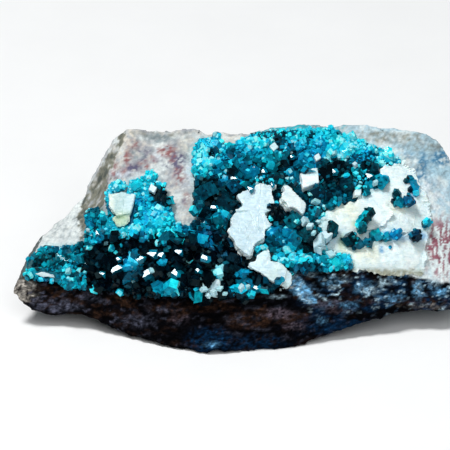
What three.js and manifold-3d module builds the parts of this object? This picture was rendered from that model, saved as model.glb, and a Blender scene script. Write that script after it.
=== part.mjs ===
// Dioptase cluster: a hand specimen of pale limestone. Its sloping face carries a crust of
// blue-green dioptase crystals, grown among blocky masses of white calcite.
// Millimetres, +Z up, +X along the specimen. It lies on its own flat underside.

import * as THREE from 'three';
import { mergeVertices } from 'three/addons/utils/BufferGeometryUtils.js';
import Module from 'manifold-3d';

const wasm = await Module();
wasm.setup();

// ---------------------------------------------------------------- driving dimensions

// The rails run along the specimen as [x, y, z], measured from the front foot at mid-length.
// Lower front edge of the near-vertical broken side.
const FOOT = [
  [-42.4, 10.4, 7], [-41, 9.7, 4.4], [-39, 9.4, 2.9], [-36, 9.2, 2.6], [-30, 9.2, 3.4],
  [-25, 7.4, 2.5], [-20, 3.8, 0.4], [-15, 1.4, -0.5], [-10, 0, -0.6], [-4, -1, -0.5],
  [4, -0.9, -0.4], [10, -0.2, -0.4], [15, 0.5, -1], [20, 2.6, -0.2], [25, 5.6, 2.2],
  [35, 7.8, 3.9], [41, 8, 4.4], [45, 8, 4], [49, 10.5, 4.6],
];
// Lip where the broken side ends and the crystal-bearing face begins.
const LIP = [
  [-42.4, 10.6, 8.2], [-40, 10.8, 10.2], [-33, 11, 9.5], [-28, 10.3, 8.5], [-25, 9.3, 7.6],
  [-20, 7, 8.4], [-10, 3.5, 9.9], [-4, 2.4, 9.9], [4, 2.6, 10.2], [9, 3.6, 11.1], [13, 5, 11.7],
  [15.5, 6.4, 12.9], [20, 8, 14.3], [26, 9.2, 13.6], [35, 10.5, 11.7], [45, 10.5, 9.6], [49, 13, 7.7],
];
// Shoulder where the steep lower part of the face turns into the gentler upper part.
const SHOULDER = [
  [-42.4, 11, 8.8], [-40, 13, 11], [-37, 17.5, 14.1], [-33, 18, 15], [-29, 18, 15],
  [-25.5, 16.2, 16.4], [-20.5, 13, 17.9], [-10, 10.5, 18.2], [0, 10.2, 18.4], [7, 11.5, 18.6],
  [14, 14.5, 19.2], [21, 17, 20.3], [30, 18.5, 19.6], [40, 19, 18.4], [45, 18, 16.4], [49, 19, 12.5],
];
// Crest: the highest line, which drops in a steep flank to the pointed left end.
const CREST = [
  [-42.4, 11.4, 8.6], [-41, 14, 10.9], [-39, 18, 13.1], [-36, 22.2, 14.9], [-33, 25, 16.3],
  [-30, 28.2, 19], [-28.2, 29.5, 20.4], [-25.6, 32.6, 23.4], [-23, 35, 29.6], [-20, 36, 32],
  [-17, 36, 30.8], [-12.5, 36, 30.1], [-10, 36, 30.6], [-7.5, 36, 29.8], [-5, 36, 29.1], [-2.5, 36, 29.7],
  [0, 36, 29.7], [4, 36, 29.5], [10, 36.5, 30.6], [16, 36.8, 31.2], [21, 37, 31], [31, 36.5, 30.3],
  [37, 35.8, 32.4], [41, 34.4, 30], [43.4, 33.2, 27.4], [45, 31.5, 25.2], [47, 30, 22],
  [49, 28, 18],
];
// Heel: the foot of the broken back.
const HEEL = [
  [-42.4, 11.2, 8], [-40, 16, 6.5], [-37, 22, 4.5], [-33, 28, 3], [-29, 33, 1.5], [-25.5, 37, 0.5],
  [-20.5, 41, -0.5], [-10, 43.5, -0.5], [0, 44.5, -0.5], [10, 45, -0.5], [20, 44, -0.5],
  [30, 42, -0.3], [38, 39, 0.5], [45, 35, 2.5], [49, 30, 5],
];
// Keel: the lowest line of the underside, which the resting plane cuts flat.
const KEEL = [
  [-42.4, 10.8, 7.9], [-40, 13, 4], [-37, 15, 1.4], [-33, 17, 0.1], [-29, 18, -0.7], [38, 20, -0.7],
  [45, 20, 0.8], [49, 20, 3.5],
];
// The stretches of one cross-section: from rail, to rail, steps, outward bulge, share of the lumps.
const STRETCHES = [
  [FOOT, LIP, 2, 0.7, 0.9], [LIP, SHOULDER, 3, 0.3, 0.4], [SHOULDER, CREST, 7, 0.4, 0.5],
  [CREST, HEEL, 7, 2.2, 1.4], [HEEL, KEEL, 3, 0, 0.8], [KEEL, FOOT, 3, 0, 0.8],
];
const ROCK_DETAIL = [34, 1];        // cross-sections of the rough rock, and share of the steps
const DRUSE_DETAIL = [11, 0.34];    // the same for the plainer druse over it
const LUMPS = [[9, 1.3], [3.6, 0.7]]; // roughness of the rock as [wavelength, height]
const TIP_CALM = 7;                 // distance over which the roughness fades at the pointed end

// Flat breaks: a point on the plane and its outward direction. The first is the resting plane.
const BREAKS = [
  { point: [0, 20, 0], out: [0, 0, -1] },
  { point: [49, 14, 6], out: [0.8, -0.35, -0.45] },
  { point: [49, 27, 21], out: [0.86, 0.12, 0.5] },
  { point: [41, 39.8, 14], out: [0.66, 0.72, 0.2] },
  { point: [24, 43, 12], out: [0.26, 0.94, 0.16] },
  { point: [6, 43.2, 14], out: [-0.02, 0.95, 0.3] },
  { point: [-14, 42, 12], out: [-0.3, 0.93, 0.18] },
  { point: [-29, 32.6, 8], out: [-0.64, 0.76, 0.12] },
  { point: [4, 43.4, 4], out: [0.1, 0.84, -0.52] },
  { point: [-36, 12, 1.6], out: [-0.45, -0.3, -0.8] },
];

const GAP = 0.3;        // left between pieces that touch
const DRUSE = 1.3;      // mean height of the fine dioptase under the standing crystals
const ROOT = 0.3;       // how far prisms reach below the surface they stand on
const BLOCK_ROOT = 3;   // and how far the calcite blocks do
const BLOCK_REACH = 2.5; // radius of the ground that sets how a calcite block lies
const RHOMB_REACH = 1;  // and of the ground under a calcite rhomb
const CLEAVAGE = [0, 0, 0.26, 0, 0.2, 0.1]; // shear that makes a cleavage rhomb of a box
const CAP_FALL = 0.62;  // drop of a crystal's end faces from its tip to its nearer corners, in radii
const STUBBY = 1.45;    // a crystal lower than this many radii has no prism sides
const SLOPE_VIEW = 30;  // degrees above level from which the layout plane is seen square on

// How scattered crystals vary: size, extra height, and lean along u and v.
const VARIED = { size: [0.75, 1.3], height: [0.85, 1.15], leanU: [-0.55, 0.55], leanV: [-0.45, 0.55] };
const TRIES = 30;       // attempts at a place for each spacing square of a zone
const SWALLOWED = 1.1;  // a scattered crystal stays this many radii from the middle of a larger one

// Places on the face are [u, v] on that plane: u along the specimen, v up from the front foot.
// Edge of the dioptase crust, from the pointed end along the lip and back over the crest.
const CRUST_EDGE = [
  [-40, 14.6], [-33.4, 13.8], [-28.4, 12.6], [-15, 11], [-4, 10.9], [3, 11.2], [9.4, 12.1],
  [12.6, 14.2], [15, 16.4], [21, 15.8], [25.6, 17], [24.8, 19], [19.6, 20], [20.4, 22.4],
  [18.6, 25], [20.4, 28.6], [24.8, 29.4], [31.6, 32.2], [31, 36.2], [35.8, 38], [31, 40.6],
  [25.4, 43], [21, 44.4], [10, 44.3], [5.2, 43.4], [2.2, 41.2], [-0.2, 41.4], [-1.6, 42.8],
  [-5.2, 42.6], [-6.4, 40.4], [-6, 35], [-5.8, 29], [-4.6, 25.6], [-9.6, 24.6], [-10.6, 28.6],
  [-12.4, 33.2], [-14.2, 34.8], [-22.8, 33.8], [-23.8, 31.6], [-23.4, 27], [-25.4, 28.4],
  [-27.2, 28], [-28, 21.6], [-32.6, 20.9], [-36, 21.2], [-39, 18.6],
];
// Zones of the crust, first match wins: corners, spacing, radius, height and a random seed.
const ZONES = [
  {
    name: 'crown', spacing: 2.9, radius: 1.2, height: 1.3, seed: 11,
    corners: [[-7, 46], [-7, 35.4], [1, 38], [21, 38.4], [36, 37], [36, 46]],
  },
  {
    name: 'heart', spacing: 3.5, radius: 1.7, height: 2.5, seed: 23,
    corners: [[-7, 35.4], [-7, 25], [3, 19.6], [14, 15], [27, 15], [36, 37], [21, 38.4], [1, 38]],
  },
  {
    name: 'upper left', spacing: 2.9, radius: 1.3, height: 1.5, seed: 41,
    corners: [[-25, 36.5], [-25, 23], [-9, 22.6], [-9, 36.5]],
  },
  {
    name: 'tip', spacing: 2.7, radius: 1.2, height: 1.4, seed: 67,
    corners: [[-41, 13], [-41, 23], [-29.4, 29], [-24.6, 29], [-24.6, 22], [-28, 20], [-28, 12]],
  },
  {
    name: 'druse', spacing: 3.4, radius: 1.55, height: 2.2, seed: 37,
    corners: [[-28, 11], [-28, 20], [-24.6, 23], [-9, 22.6], [-7, 26], [3, 19.6], [14, 15], [3, 10]],
  },
];
const CRUST_DEPTH = [-16.5, 16]; // the crust's reach behind and before the layout plane

// Large crystals, single or in groups: [u, v] of the middle, radius, height, lean [along u, along v]
// and spin.
const LARGE = {
  crust: [
    [-3.8, 32.2, 2.4, 3.4, [-0.5, 0.1], 10], [-0.4, 30.4, 3.2, 3.6, [-0.2, 0.3], 35],
    [1.6, 33.4, 2, 3, [0.4, 0.4], 20], [21.2, 36.4, 2.6, 3.6, [0.1, 0.2], 0],
    [13.8, 26.4, 2.2, 3.6, [-0.3, 0.3], 15], [17.4, 23.4, 2.5, 3.6, [0.4, 0], 40],
    [9.8, 23, 2.3, 3, [-0.2, -0.2], 5], [13.4, 22.8, 2, 3, [0.1, 0.4], 50],
    [-11.2, 22.2, 2.2, 3, [0.2, -0.3], 30], [9.4, 38.6, 2, 2.8, [-0.3, 0.4], 25],
    [5, 36.6, 1.9, 2.8, [0.3, 0.1], 55], [24.6, 33.6, 1.9, 2.8, [0.3, -0.2], 15],
    [-18.5, 18, 1.9, 2.8, [-0.4, 0], 45], [-4, 18.4, 2, 2.9, [0.3, 0.2], 10],
    [1.8, 15.6, 1.9, 2.7, [0, -0.4], 30], [22, 18.2, 1.3, 1.9, [-0.4, 0], 20],
    [24.4, 18.4, 1.2, 1.8, [0.5, 0.1], 50], [20, 18.8, 1.3, 1.9, [0, -0.3], 5],
  ],
  dioptase_prism: [
    [28.3, 27.1, 1.2, 4.2, [1.5, 1.5], 10], [27.3, 24.6, 1.1, 2.2, [0.1, 0], 40],
  ],
  dioptase_sprig: [
    [21.4, 24.7, 1.15, 3.4, [0, 0.8], 35], [21.7, 27, 0.9, 1.8, [0.1, 0.4], 15],
  ],
  dioptase_group: [
    [24.9, 22.3, 1.6, 2.6, [-0.3, 0], 10], [26.8, 21.6, 1.3, 2, [0.1, 0.2], 30],
    [28.6, 21.5, 1.2, 1.9, [0, -0.3], 0], [30.4, 23.4, 1.4, 2.4, [0.2, 0.5], 20],
    [32.3, 22.8, 1.2, 1.9, [0.3, 0], 25], [34.2, 23.3, 1.3, 2, [0.2, 0.3], 45],
  ],
  dioptase_single: [[38.3, 23.2, 1.3, 2, [0.3, 0.1], 15]],
  dioptase_outlier: [[40.4, 25.9, 1, 1.9, [0.2, 0.5], 30]],
  dioptase_ring: [
    [34.3, 31.6, 1, 1.8, [-0.2, 0.4], 15], [34.8, 29.9, 1, 1.7, [-0.2, -0.2], 10],
    [36.9, 30.2, 1.3, 2.1, [0.2, -0.2], 35], [38, 32.4, 1.1, 1.9, [0.4, 0.2], 5],
    [37, 34.2, 1, 1.8, [0.1, 0.5], 25],
  ],
};

// Calcite masses: blocks with flat tops. Each has an outline, its lift above the rock under its
// middle, and the tip of its top, [towards u, towards v].
const CALCITE = {
  calcite_big: [
    {
      lift: 2.3, tip: [0, 0],
      outline: [
        [2.2, 31.1], [3.2, 32], [6, 33.1], [7.4, 33.9], [8.3, 33.6], [10.6, 33.4], [9.5, 32.2],
        [9.8, 30.7], [10.5, 28.8], [8.1, 27.7], [8.6, 26.8], [9.5, 25.4], [8, 24.4], [8.1, 22.7],
        [6, 21.7], [5.6, 20], [5, 19.3], [3.5, 20], [2, 21.2], [1.2, 23.2], [0.4, 24.1], [1.2, 25.4],
        [1.2, 27.2], [2, 28.4], [3.6, 29.2],
      ],
    },
    {
      lift: 2.8, tip: [0, -0.12],
      outline: [
        [2.2, 31.1], [3.2, 32], [6, 33.1], [7.4, 33.9], [8.3, 33.6], [10.6, 33.4], [9.5, 32.2],
        [9.8, 30.7], [8.4, 29.4], [4.4, 29.6],
      ],
    },
    {
      lift: 2.7, tip: [0.05, 0.02],
      outline: [
        [2, 28], [1.2, 27.2], [1.2, 25.4], [0.4, 24.1], [1.2, 23.2], [4.6, 22.8], [6.4, 25.4], [5, 28],
      ],
    },
  ],
  calcite_slant: [
    {
      lift: 2.2, tip: [0.25, 0.1],
      outline: [
        [11.5, 33.3], [12.6, 33.2], [13.6, 32.4], [14.8, 31.3], [16.6, 29.6], [16.3, 28.6],
        [15.6, 27.3], [14.5, 28.2], [14, 28.7], [12.6, 28.8], [12.1, 29.9], [11.4, 30.4],
        [11.2, 31.6], [11.9, 32.2],
      ],
    },
  ],
  calcite_low: [
    {
      lift: 1.9, tip: [0, 0.1],
      outline: [
        [8.4, 20.8], [9, 20], [9.3, 18.2], [11, 17.8], [12.5, 16.7], [11.4, 13.6], [10, 13.9],
        [9, 14.4], [7, 15.8], [5, 16.8], [4.4, 17.4], [4.8, 18.1], [6, 18.3], [6.3, 19.4],
      ],
    },
    {
      lift: 1.4, tip: [0.1, -0.1],
      outline: [
        [10.2, 17.2], [12.5, 16.7], [13.4, 15.2], [13.4, 13.8], [12.8, 12.8], [11.5, 12.8], [9.6, 14.2],
      ],
    },
  ],
  calcite_right: [
    {
      lift: 1, tip: [0.12, 0.1],
      outline: [
        [31.6, 35], [30.8, 36.4], [33.4, 37.2], [36.2, 38], [37.8, 36.2], [38.8, 33.4], [40, 30.2],
        [34.4, 28.8], [31, 31],
      ],
    },
    {
      lift: 1.6, tip: [-0.1, 0.05],
      outline: [
        [20.2, 28.8], [21.8, 29.6], [25, 29.4], [27.2, 30.8], [30.4, 32.6], [32.4, 31.8],
        [33, 27], [30, 24.6], [26, 24.4], [20.4, 25.4], [19.2, 26.8],
      ],
    },
    {
      lift: 0.9, tip: [0.12, 0],
      outline: [[32, 31.2], [35, 30.4], [40, 30.2], [41.2, 27], [41, 23.8], [32, 23.6]],
    },
    {
      lift: 0.9, tip: [0, -0.1],
      outline: [
        [18.8, 26.4], [27.6, 25.6], [33.6, 24.8], [33.6, 20.4], [26, 17.6], [21, 19], [18.4, 19.6],
        [20.2, 22.2],
      ],
    },
    {
      lift: 1, tip: [0.06, -0.12],
      outline: [
        [26.4, 20.6], [33, 22], [40.8, 24.6], [39.8, 20.2], [39.8, 16.6], [39, 15.4], [31, 15.6],
        [25.6, 16.6],
      ],
    },
  ],
  calcite_left: [
    {
      lift: 1.3, tip: [0.1, 0.1],
      outline: [[-23.4, 31.6], [-20.8, 32], [-17.8, 31.4], [-18.8, 27.6], [-21.8, 27], [-23.4, 29.2]],
    },
    {
      lift: 0.9, tip: [0, -0.2],
      outline: [[-22, 28], [-19, 28], [-18.8, 26], [-20, 24.8], [-21.6, 24.8], [-22.6, 26.4]],
    },
  ],
  calcite_foot: [
    {
      lift: 1.1, tip: [-0.1, -0.2],
      outline: [[-4.4, 13.6], [-3, 14.4], [-1.2, 14.2], [-0.6, 12], [-1.6, 11], [-3.8, 11.2]],
    },
  ],
  calcite_tip: [
    {
      lift: 0.9, tip: [0, -0.2],
      outline: [[-38, 15.6], [-36.2, 16], [-34, 15.4], [-33.8, 14.6], [-37, 14.8]],
    },
  ],
};
// Calcite crystals that stand alone, as cleavage rhombs: [u, v] of the middle, edge, lift, spin.
const RHOMBS = {
  calcite_rhomb_1: { at: [16.7, 34], edge: 3.7, lift: 1.9, spin: 20 },
  calcite_rhomb_2: { at: [9.8, 40.6], edge: 2.2, lift: 1, spin: 50 },
  calcite_rhomb_3: { at: [26.1, 31.1], edge: 1.9, lift: 2.2, spin: 5 },
  calcite_rhomb_4: { at: [18.4, 38.4], edge: 1.8, lift: 1.3, spin: 35 },
  calcite_rhomb_5: { at: [-14.4, 32.1], edge: 2, lift: 1.3, spin: 70 },
};

// Shift from the construction's zero to the middle of the specimen's foot.
const CENTRE = [3.54, 21.8];

// ---------------------------------------------------------------- small mathematics

const RADIANS = Math.PI / 180;
const ALONG = new THREE.Vector3(1, 0, 0);
const AWAY = new THREE.Vector3(0, Math.cos(SLOPE_VIEW * RADIANS), -Math.sin(SLOPE_VIEW * RADIANS));
const UPWARD = new THREE.Vector3(0, Math.sin(SLOPE_VIEW * RADIANS), Math.cos(SLOPE_VIEW * RADIANS));

const mix = (a, b, t) => a + (b - a) * t;

function lattice(i, j, k) {
  let n = Math.imul(i, 374761393) + Math.imul(j, 668265263) + Math.imul(k, 1274126177);
  n = Math.imul(n ^ (n >>> 13), 1274126177);
  return ((n ^ (n >>> 16)) >>> 0) / 2147483648 - 1;
}

// Smooth noise between -1 and 1.
function noise(x, y, z) {
  const cell = [x, y, z].map(Math.floor);
  const [fx, fy, fz] = [x, y, z].map((value, axis) => {
    const t = value - cell[axis];
    return t * t * (3 - 2 * t);
  });
  const corner = (a, b, c) => lattice(cell[0] + a, cell[1] + b, cell[2] + c);
  const edge = (b, c) => mix(corner(0, b, c), corner(1, b, c), fx);
  return mix(mix(edge(0, 0), edge(1, 0), fy), mix(edge(0, 1), edge(1, 1), fy), fz);
}

function randomStream(seed) {
  let state = seed;
  return () => {
    state = (state + 0x6d2b79f5) | 0;
    let t = Math.imul(state ^ (state >>> 15), 1 | state);
    t = (t + Math.imul(t ^ (t >>> 7), 61 | t)) ^ t;
    return ((t ^ (t >>> 14)) >>> 0) / 4294967296;
  };
}

function inside(outline, u, v) {
  let within = false;
  outline.forEach(([u1, v1], i) => {
    const [u0, v0] = outline[(i + outline.length - 1) % outline.length];
    if (v1 > v !== v0 > v && u < mix(u1, u0, (v - v1) / (v0 - v1))) within = !within;
  });
  return within;
}

// ---------------------------------------------------------------- solids

function geometryFrom(corners, triangles) {
  const geometry = new THREE.BufferGeometry();
  geometry.setAttribute('position', new THREE.Float32BufferAttribute(corners.flat(), 3));
  geometry.setIndex(triangles.flat());
  return geometry;
}

function solid(geometry) {
  geometry.deleteAttribute('normal');
  geometry.deleteAttribute('uv');
  const merged = mergeVertices(geometry, 1e-4);
  return new wasm.Manifold(new wasm.Mesh({
    numProp: 3,
    vertProperties: new Float32Array(merged.attributes.position.array),
    triVerts: new Uint32Array(merged.index.array),
  }));
}

function geometryOf(body) {
  const { vertProperties, triVerts } = body.getMesh();
  const geometry = new THREE.BufferGeometry();
  geometry.setAttribute('position', new THREE.BufferAttribute(new Float32Array(vertProperties), 3));
  geometry.setIndex(new THREE.BufferAttribute(new Uint32Array(triVerts), 1));
  return geometry;
}

const joined = (bodies) => bodies.reduce((sum, body) => sum.add(body));
const largest = (body) => body.decompose().sort((a, b) => b.volume() - a.volume())[0];

// Moves every face of a closed mesh outwards by an amount.
function swell(geometry, amount) {
  geometry.deleteAttribute('normal');
  geometry.deleteAttribute('uv');
  const merged = mergeVertices(geometry, 1e-4);
  const position = merged.attributes.position;
  const index = merged.index.array;
  const facing = Array.from({ length: position.count }, () => []);
  const [a, b, c] = [new THREE.Vector3(), new THREE.Vector3(), new THREE.Vector3()];
  for (let i = 0; i < index.length; i += 3) {
    a.fromBufferAttribute(position, index[i]);
    b.fromBufferAttribute(position, index[i + 1]);
    c.fromBufferAttribute(position, index[i + 2]);
    const normal = b.clone().sub(a).cross(c.clone().sub(a)).normalize();
    for (const corner of [index[i], index[i + 1], index[i + 2]]) {
      if (facing[corner].every((known) => known.dot(normal) < 0.999)) facing[corner].push(normal);
    }
  }
  facing.forEach((normals, i) => {
    const way = normals.reduce((sum, normal) => sum.add(normal), new THREE.Vector3()).normalize();
    const lean = Math.max(0.4, Math.min(...normals.map((normal) => normal.dot(way))));
    a.fromBufferAttribute(position, i).addScaledVector(way, amount / lean);
    position.setXYZ(i, a.x, a.y, a.z);
  });
  return merged;
}

// ---------------------------------------------------------------- the rock

function onRail(rail, x) {
  const next = rail.findIndex((point, i) => i > 0 && (point[0] >= x || i === rail.length - 1));
  const [from, to] = [rail[next - 1], rail[next]];
  const t = (x - from[0]) / (to[0] - from[0]);
  return [mix(from[1], to[1], t), mix(from[2], to[2], t)];
}

// One closed cross-section at x: the stretches between the rails, each bowed outwards.
function section(x, share, finish) {
  return STRETCHES.flatMap(([from, to, fullSteps, bulge, rough]) => {
    const steps = Math.ceil(fullSteps * share);
    const [y0, z0] = onRail(from, x);
    const [y1, z1] = onRail(to, x);
    const length = Math.hypot(y1 - y0, z1 - z0);
    const bow = Math.min(bulge, 0.1 * length);
    return Array.from({ length: steps }, (_, step) => {
      const t = step / steps;
      const out = (bow * Math.sin(Math.PI * t)) / length;
      const point = [x, mix(y0, y1, t) - (z1 - z0) * out, mix(z0, z1, t) + (y1 - y0) * out];
      return finish(point, rough);
    });
  });
}

function roughened([x, y, z], share) {
  const calm = share * Math.min(1, (x - FOOT[0][0]) / TIP_CALM);
  return [x, y, z].map((value, axis) => LUMPS.reduce((sum, [wave, height]) => {
    const shift = 17 * axis;
    return sum + calm * height * noise(x / wave + shift, y / wave + shift, z / wave + shift);
  }, value));
}

// The closed loft through cross-sections whose points are moved by the finish.
function loft([stations, share], finish) {
  const [start, end] = [FOOT[0][0], FOOT[FOOT.length - 1][0]];
  const rings = Array.from({ length: stations }, (_, i) => (
    section(mix(start, end, i / (stations - 1)), share, finish)
  ));
  const around = rings[0].length;
  const corners = rings.flat();
  const triangles = [];
  for (let i = 0; i + 1 < stations; i += 1) {
    for (let j = 0; j < around; j += 1) {
      const [a, b] = [i * around + j, i * around + ((j + 1) % around)];
      triangles.push([a, a + around, b], [b, a + around, b + around]);
    }
  }
  const middle = (ring) => [0, 1, 2].map((axis) => (
    ring.reduce((sum, point) => sum + point[axis], 0) / around
  ));
  const last = (stations - 1) * around;
  corners.push(middle(rings[0]), middle(rings[stations - 1]));
  for (let j = 0; j < around; j += 1) {
    const next = (j + 1) % around;
    triangles.push([corners.length - 2, j, next], [corners.length - 1, last + next, last + j]);
  }
  return geometryFrom(corners, triangles);
}

// The rock, swollen by an amount: loft, less what broke off it.
function rock(amount) {
  const body = solid(swell(loft(ROCK_DETAIL, roughened), amount));
  return BREAKS.reduce((rest, { point, out }) => {
    const away = new THREE.Vector3(...out).normalize();
    const waste = new THREE.BoxGeometry(200, 200, 60).translate(0, 0, 30 + amount);
    waste.applyQuaternion(new THREE.Quaternion().setFromUnitVectors(new THREE.Vector3(0, 0, 1), away));
    waste.translate(...point);
    return rest.subtract(solid(waste));
  }, body);
}

const ray = new THREE.Raycaster();
const over = (u, v) => (
  ALONG.clone().multiplyScalar(u).addScaledVector(UPWARD, v).addScaledVector(AWAY, -100)
);

// The point of a surface at a place on the layout plane, and the surface's direction there.
function surfaceAt(ground, u, v) {
  ray.set(over(u, v), AWAY);
  const [hit] = ray.intersectObject(ground);
  return hit && { point: hit.point, normal: hit.face.normal.clone() };
}

// The surface averaged over a small circle, so that one rough facet doesn't decide.
function meanSurfaceAt(ground, u, v, reach) {
  const centre = surfaceAt(ground, u, v);
  if (!centre) return null;
  const normal = centre.normal.clone();
  for (let turn = 0; turn < 360; turn += 60) {
    const [du, dv] = [Math.cos(turn * RADIANS), Math.sin(turn * RADIANS)];
    const near = surfaceAt(ground, u + reach * du, v + reach * dv);
    if (near) normal.add(near.normal);
  }
  return { point: centre.point, normal: normal.normalize() };
}

// A frame that stands at a point along a direction, turned about it by spin.
function standing(point, up, spin) {
  const across = new THREE.Vector3().crossVectors(UPWARD, up).normalize();
  const frame = new THREE.Matrix4().makeBasis(across, up.clone().cross(across), up);
  return frame.setPosition(point).multiply(new THREE.Matrix4().makeRotationZ(spin));
}

// ---------------------------------------------------------------- dioptase

// The six corners around a crystal, of which every second one lies lower on its end faces.
function cornersAround(radius, levelOf) {
  return Array.from({ length: 6 }, (_, k) => {
    const angle = k * 60 * RADIANS;
    return [radius * Math.cos(angle), radius * Math.sin(angle), levelOf(k % 2 ? CAP_FALL : 2 * CAP_FALL)];
  });
}

// Three rhombic end faces above and three below: a rhombohedron standing on a corner.
function rhombohedronGeometry(radius, height) {
  const corners = [
    [0, 0, height], ...cornersAround(radius, (fall) => height - fall * radius),
    [0, 0, height - 3 * CAP_FALL * radius],
  ];
  const triangles = [];
  for (let k = 0; k < 6; k += 1) {
    const [a, b] = [1 + k, 1 + ((k + 1) % 6)];
    triangles.push([0, a, b], [7, b, a]);
  }
  return geometryFrom(corners, triangles);
}

// A six-sided prism with three kite-shaped end faces, standing on z = 0.
function prismGeometry(radius, height) {
  const corners = [
    [0, 0, height], ...cornersAround(radius, (fall) => height - fall * radius),
    ...cornersAround(radius, () => -ROOT),
  ];
  const triangles = [];
  for (let k = 0; k < 6; k += 1) {
    const [a, b] = [1 + k, 1 + ((k + 1) % 6)];
    triangles.push([0, a, b], [a, a + 6, b + 6], [a, b + 6, b]);
    if (k > 0 && k < 5) triangles.push([7, b + 6, a + 6]);
  }
  return geometryFrom(corners, triangles);
}

// A direction, the normal of a surface pulled along u and v.
const leaning = (normal, [leanU, leanV]) => (
  normal.clone().addScaledVector(ALONG, leanU).addScaledVector(UPWARD, leanV).normalize()
);

// The ground under something that rises along a lean and whose middle is seen at [u, v].
function seatUnder(ground, [u, v], reach, height, lean) {
  const first = meanSurfaceAt(ground, u, v, reach);
  const half = leaning(first.normal, lean).multiplyScalar(height / 2);
  return meanSurfaceAt(ground, u - half.dot(ALONG), v - half.dot(UPWARD), reach);
}

// A crystal standing on a seat, swollen by an amount.
function crystal(seat, [, , radius, height, lean, spin], amount) {
  const build = height < STUBBY * radius ? rhombohedronGeometry : prismGeometry;
  const frame = standing(seat.point, leaning(seat.normal, lean), spin * RADIANS);
  return solid(swell(build(radius, height), amount).applyMatrix4(frame));
}

// A large crystal, seated by its middle.
function largeCrystal(ground, row, amount) {
  const [u, v, radius, height, lean] = row;
  return crystal(seatUnder(ground, [u, v], radius, height, lean), row, amount);
}

// Crystals scattered over a zone of the crust, no two closer than its spacing.
function scattered({ corners, spacing, radius, height, seed }, taken) {
  const random = randomStream(seed);
  const [low, high] = [Math.min, Math.max].map((pick) => [0, 1].map((axis) => (
    pick(...corners.map((point) => point[axis]))
  )));
  const rows = [];
  const tries = (TRIES * (high[0] - low[0]) * (high[1] - low[1])) / spacing ** 2;
  for (let i = 0; i < tries; i += 1) {
    const [u, v] = [mix(low[0], high[0], random()), mix(low[1], high[1], random())];
    const alone = [...taken, ...rows].every((row) => (
      Math.hypot(row[0] - u, row[1] - v) >= Math.max(spacing, SWALLOWED * row[2])
    ));
    if (alone && inside(corners, u, v) && inside(CRUST_EDGE, u, v)) {
      const size = mix(...VARIED.size, random());
      const lean = [mix(...VARIED.leanU, random()), mix(...VARIED.leanV, random())];
      const tall = height * size * mix(...VARIED.height, random());
      rows.push([u, v, radius * size, tall, lean, 120 * random()]);
    }
  }
  return rows;
}

// A column over an outline of the layout plane, from behind the face to before it.
function column(outline, [behind, before], amount) {
  const shape = new THREE.Shape(outline.map(([u, v]) => new THREE.Vector2(u, v)));
  const geometry = new THREE.ExtrudeGeometry(shape, { depth: before - behind, bevelEnabled: false });
  const frame = new THREE.Matrix4().makeBasis(ALONG, UPWARD, AWAY.clone().negate());
  return solid(swell(geometry.translate(0, 0, behind), amount).applyMatrix4(frame));
}

// ---------------------------------------------------------------- calcite

// A block whose flat top has the given outline when seen square on to the layout plane.
function block(ground, { outline, lift, tip }, amount) {
  const centre = [0, 1].map((axis) => (
    outline.reduce((sum, point) => sum + point[axis], 0) / outline.length
  ));
  const seat = meanSurfaceAt(ground, ...centre, BLOCK_REACH);
  const up = leaning(seat.normal, tip);
  const top = new THREE.Plane().setFromNormalAndCoplanarPoint(
    up, seat.point.clone().addScaledVector(seat.normal, lift),
  );
  const frame = standing(seat.point, up, 0);
  const level = -top.distanceToPoint(seat.point);
  const inverse = frame.clone().invert();
  const points = outline.map(([u, v]) => {
    const onTop = new THREE.Ray(over(u, v), AWAY).intersectPlane(top, new THREE.Vector3());
    const { x, y } = onTop.applyMatrix4(inverse);
    return new THREE.Vector2(x, y);
  });
  const depth = level + BLOCK_ROOT;
  const geometry = new THREE.ExtrudeGeometry(new THREE.Shape(points), { depth, bevelEnabled: false });
  return solid(swell(geometry.translate(0, 0, -BLOCK_ROOT), amount).applyMatrix4(frame));
}

// A cleavage rhomb standing on its long edge.
function rhomb(ground, { at, edge, lift, spin }, amount) {
  const seat = seatUnder(ground, at, RHOMB_REACH, lift, [0, 0]);
  const geometry = new THREE.BoxGeometry(edge, edge, lift + BLOCK_ROOT);
  geometry.translate(0, 0, (lift - BLOCK_ROOT) / 2);
  geometry.applyMatrix4(new THREE.Matrix4().makeShear(...CLEAVAGE));
  return solid(swell(geometry, amount).applyMatrix4(standing(seat.point, seat.normal, spin * RADIANS)));
}

// ---------------------------------------------------------------- the specimen

const MATERIALS = {
  matrix: new THREE.MeshStandardMaterial({ color: 0xb9bab6, roughness: 0.9, metalness: 0 }),
  calcite: new THREE.MeshStandardMaterial({ color: 0xe2eff2, roughness: 0.45, metalness: 0 }),
  dioptase: new THREE.MeshStandardMaterial({ color: 0x0b7f8f, roughness: 0.12, metalness: 0 }),
};

const specimen = new THREE.Group();
specimen.position.set(-CENTRE[0], -CENTRE[1], 0);

function place(name, body, material) {
  const mesh = new THREE.Mesh(geometryOf(body), material.clone());
  mesh.name = name;
  specimen.add(mesh);
}

const bareRock = rock(0);
const clearOfRock = rock(GAP);
place('matrix', bareRock, MATERIALS.matrix);

// The fine druse: a plainer skin over the rock, within the crust's edge, swollen by an amount.
const plain = (point) => point;
const skin = (amount) => solid(swell(loft(DRUSE_DETAIL, plain), DRUSE + amount));
const druse = (amount) => column(CRUST_EDGE, CRUST_DEPTH, amount).intersect(skin(amount));
const druseFace = new THREE.Mesh(geometryOf(skin(0)));

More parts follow.
